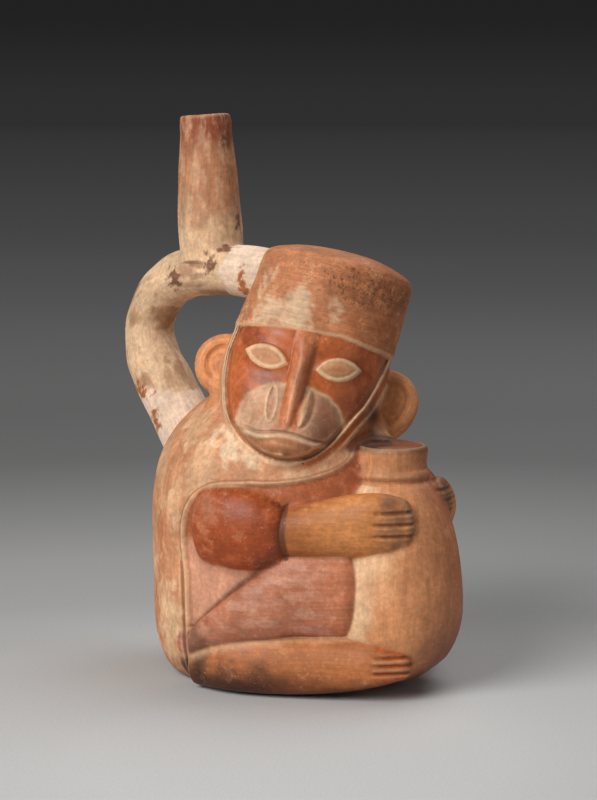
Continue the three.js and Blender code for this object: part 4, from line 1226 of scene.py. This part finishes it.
def closed_shell(points, faces, normals):
    """Gives a patch of surface a thickness inward, so that it is a closed solid."""
    count = len(points)
    edges = face_edges(faces).astype(np.int64)
    keys = edges[:, 0] * count + edges[:, 1]
    back = edges[:, 1] * count + edges[:, 0]
    border = edges[~np.isin(keys, back)]
    rim = np.hstack([border[:, ::-1], border + count])
    return (
        np.vstack([points, points - SHELL * normals]),
        np.vstack([faces, faces[:, ::-1] + count, rim]),
        np.vstack([normals, -normals]),
    )


def make_piece(name, points, faces):
    used, faces = np.unique(faces, return_inverse=True)
    points = points[used]
    faces = faces.reshape(-1, 4)
    if name in FINE_PIECES:
        points, faces = refine(points, faces)
    points, normals = settle(points, 1)
    paint = painted(points)
    solid, sides, directions = closed_shell(points, faces, normals)
    mesh = bpy.data.meshes.new(name)
    mesh.from_pydata(solid * MM, [], sides)
    mesh.shade_smooth()
    mesh.normals_split_custom_set_from_vertices(directions)
    layers = [
        ("slip_and_painted_light", "FLOAT_COLOR", "color", np.hstack([paint.colour, np.ones((len(points), 1))])),
        ("gloss", "FLOAT", "value", paint.gloss),
        ("wear", "FLOAT", "value", paint.wear),
        ("pit", "FLOAT", "value", paint.pit),
        ("line", "FLOAT_VECTOR", "vector", paint.line_turn()),
        ("grain", "FLOAT_VECTOR", "vector", paint.grain),
    ]
    for layer, kind, field, values in layers:
        data = mesh.attributes.new(layer, kind, "POINT").data
        data.foreach_set(field, np.concatenate([values, values]).astype(np.float32).ravel())
    mesh.materials.append(MATERIALS[SLOTS[name]])
    piece = add_object(f"{name}_look", mesh)
    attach(piece, "root")
    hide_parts(name)


def build():
    points, faces = surface_net(sample_grid())
    points, _ = settle(points, 3)
    names = node_names(points[faces].mean(1))
    for name in SLOTS:
        make_piece(name, points, faces[names == name])


build()


# Stage, lights and camera, in metres.

# The camera looks along the diagonal of the frame, and a little down.
CAMERA_PLACE = (-0.7312, -0.7340, 0.240)
CAMERA_DOWN = math.radians(6.76)
CAMERA_TURN = math.radians(-45)
CAMERA_LENS = 108.2
CAMERA_SENSOR = 36
VIEW_RIGHT = Vector((math.cos(CAMERA_TURN), math.sin(CAMERA_TURN), 0))
VIEW_AWAY = Vector((-math.sin(CAMERA_TURN), math.cos(CAMERA_TURN), 0))

# Painted shades of the floor, standing in for its light and shade, at distances from a place before the
# bottle, and the ends of their scale.
FLOOR_SHADES = [
    (0.08, 0.56), (0.2, 0.485), (0.3, 0.38), (0.42, 0.35), (0.585, 0.265), (0.8, 0.19), (1.08, 0.2),
    (1.48, 0.26), (2.1, 0.35), (3.1, 0.455), (5.3, 0.45), (12, 0.36), (60, 0.255),
]
FLOOR_MIDDLE = VIEW_AWAY * -0.15
FLOOR_NEAREST = 0.05
FLOOR_FARTHEST = 100
FLOOR_HALF_SIZE = 400

# Lamps: name, place to the right, away and up as the camera sees it, power and tint.
LAMPS = [
    ("key", (-0.95, -1.0, 0.95), 27, (1, 0.98, 0.95)),
    ("fill", (1.3, -0.9, 0.5), 1.5, (1, 1, 1)),
    ("back", (0.5, 0.5, 1.4), 10, (1, 1, 1)),
]
LAMP_SIZE = 1.2
LAMP_TARGET = Vector((0, 0, 0.11))
WORLD_LIGHT = (0.11, 0.11, 0.112, 1)


def backdrop():
    """Pale floor with painted light and shade, that darkens away from the bottle, and pales again far off
    as the light falls away.
    """
    signs = ((-1, -1), (1, -1), (1, 1), (-1, 1))
    mesh = bpy.data.meshes.new("floor")
    corners = [(x * FLOOR_HALF_SIZE, y * FLOOR_HALF_SIZE, 0) for x, y in signs]
    mesh.from_pydata(corners, [], [(0, 1, 2, 3)])
    floor = add_object("floor", mesh)
    material = bpy.data.materials.new("floor_paper")
    nodes = Nodes(material)
    place = nodes.add("TexCoord").outputs["Object"]
    ends = {0: place, 1: tuple(FLOOR_MIDDLE)}
    away = nodes.add("VectorMath", ends, operation="DISTANCE").outputs["Value"]
    ratio = FLOOR_FARTHEST / FLOOR_NEAREST
    share = nodes.math("LOGARITHM", nodes.math("DIVIDE", away, FLOOR_NEAREST), ratio)
    ramp = nodes.add("ValToRGB", {"Fac": share})
    stops = ramp.color_ramp.elements
    while len(stops) < len(FLOOR_SHADES):
        stops.new(0.5)
    for stop, (metres, shade) in zip(stops, FLOOR_SHADES):
        stop.position = math.log(metres / FLOOR_NEAREST) / math.log(ratio)
        stop.color = (shade, shade, shade, 1)
    grain = nodes.ramp(nodes.noise(place, 900, 2, 0.6), 0.3, 0.7, 0.96, 1.04)
    colour = nodes.mix(1.0, ramp.outputs["Color"], nodes.grey(grain), "MULTIPLY")
    sockets = {"Base Color": colour, "Roughness": 1.0, "Specular IOR Level": 0.0}
    shader = nodes.add("BsdfPrincipled", sockets)
    nodes.add("OutputMaterial", {"Surface": shader.outputs[0]})
    mesh.materials.append(material)


def lights():
    for name, (right, away, up), power, tint in LAMPS:
        data = bpy.data.lights.new(name, "AREA")
        data.shape = "DISK"
        data.size = LAMP_SIZE
        data.energy = power
        data.color = tint
        lamp = add_object(name, data)
        lamp.location = VIEW_RIGHT * right + VIEW_AWAY * away + Vector((0, 0, up))
        lamp.rotation_euler = (LAMP_TARGET - lamp.location).to_track_quat("-Z", "Y").to_euler()


def surroundings():
    """A dim even light on the bottle, and a dark background that the camera sees behind it."""
    world = bpy.data.worlds.new("studio")
    nodes = Nodes(world)
    upward = nodes.add("SeparateXYZ", {0: nodes.add("TexCoord").outputs["Generated"]}).outputs["Z"]
    seen = nodes.ramp(upward, 0, 0.045, 0.028, 0.0155)
    direct = nodes.add("LightPath").outputs["Is Camera Ray"]
    shade = nodes.mix(direct, WORLD_LIGHT, nodes.grey(seen))
    background = nodes.add("Background", {"Color": shade, "Strength": 1.0})
    nodes.add("OutputWorld", {"Surface": background.outputs[0]})
    bpy.context.scene.world = world


def camera():
    data = bpy.data.cameras.new("camera")
    data.lens = CAMERA_LENS
    data.sensor_width = CAMERA_SENSOR
    eye = add_object("camera", data)
    eye.location = CAMERA_PLACE
    eye.rotation_euler = (math.pi / 2 - CAMERA_DOWN, 0, CAMERA_TURN)
    bpy.context.scene.camera = eye


backdrop()
lights()
surroundings()
camera()
bpy.context.scene.view_settings.view_transform = "Standard"
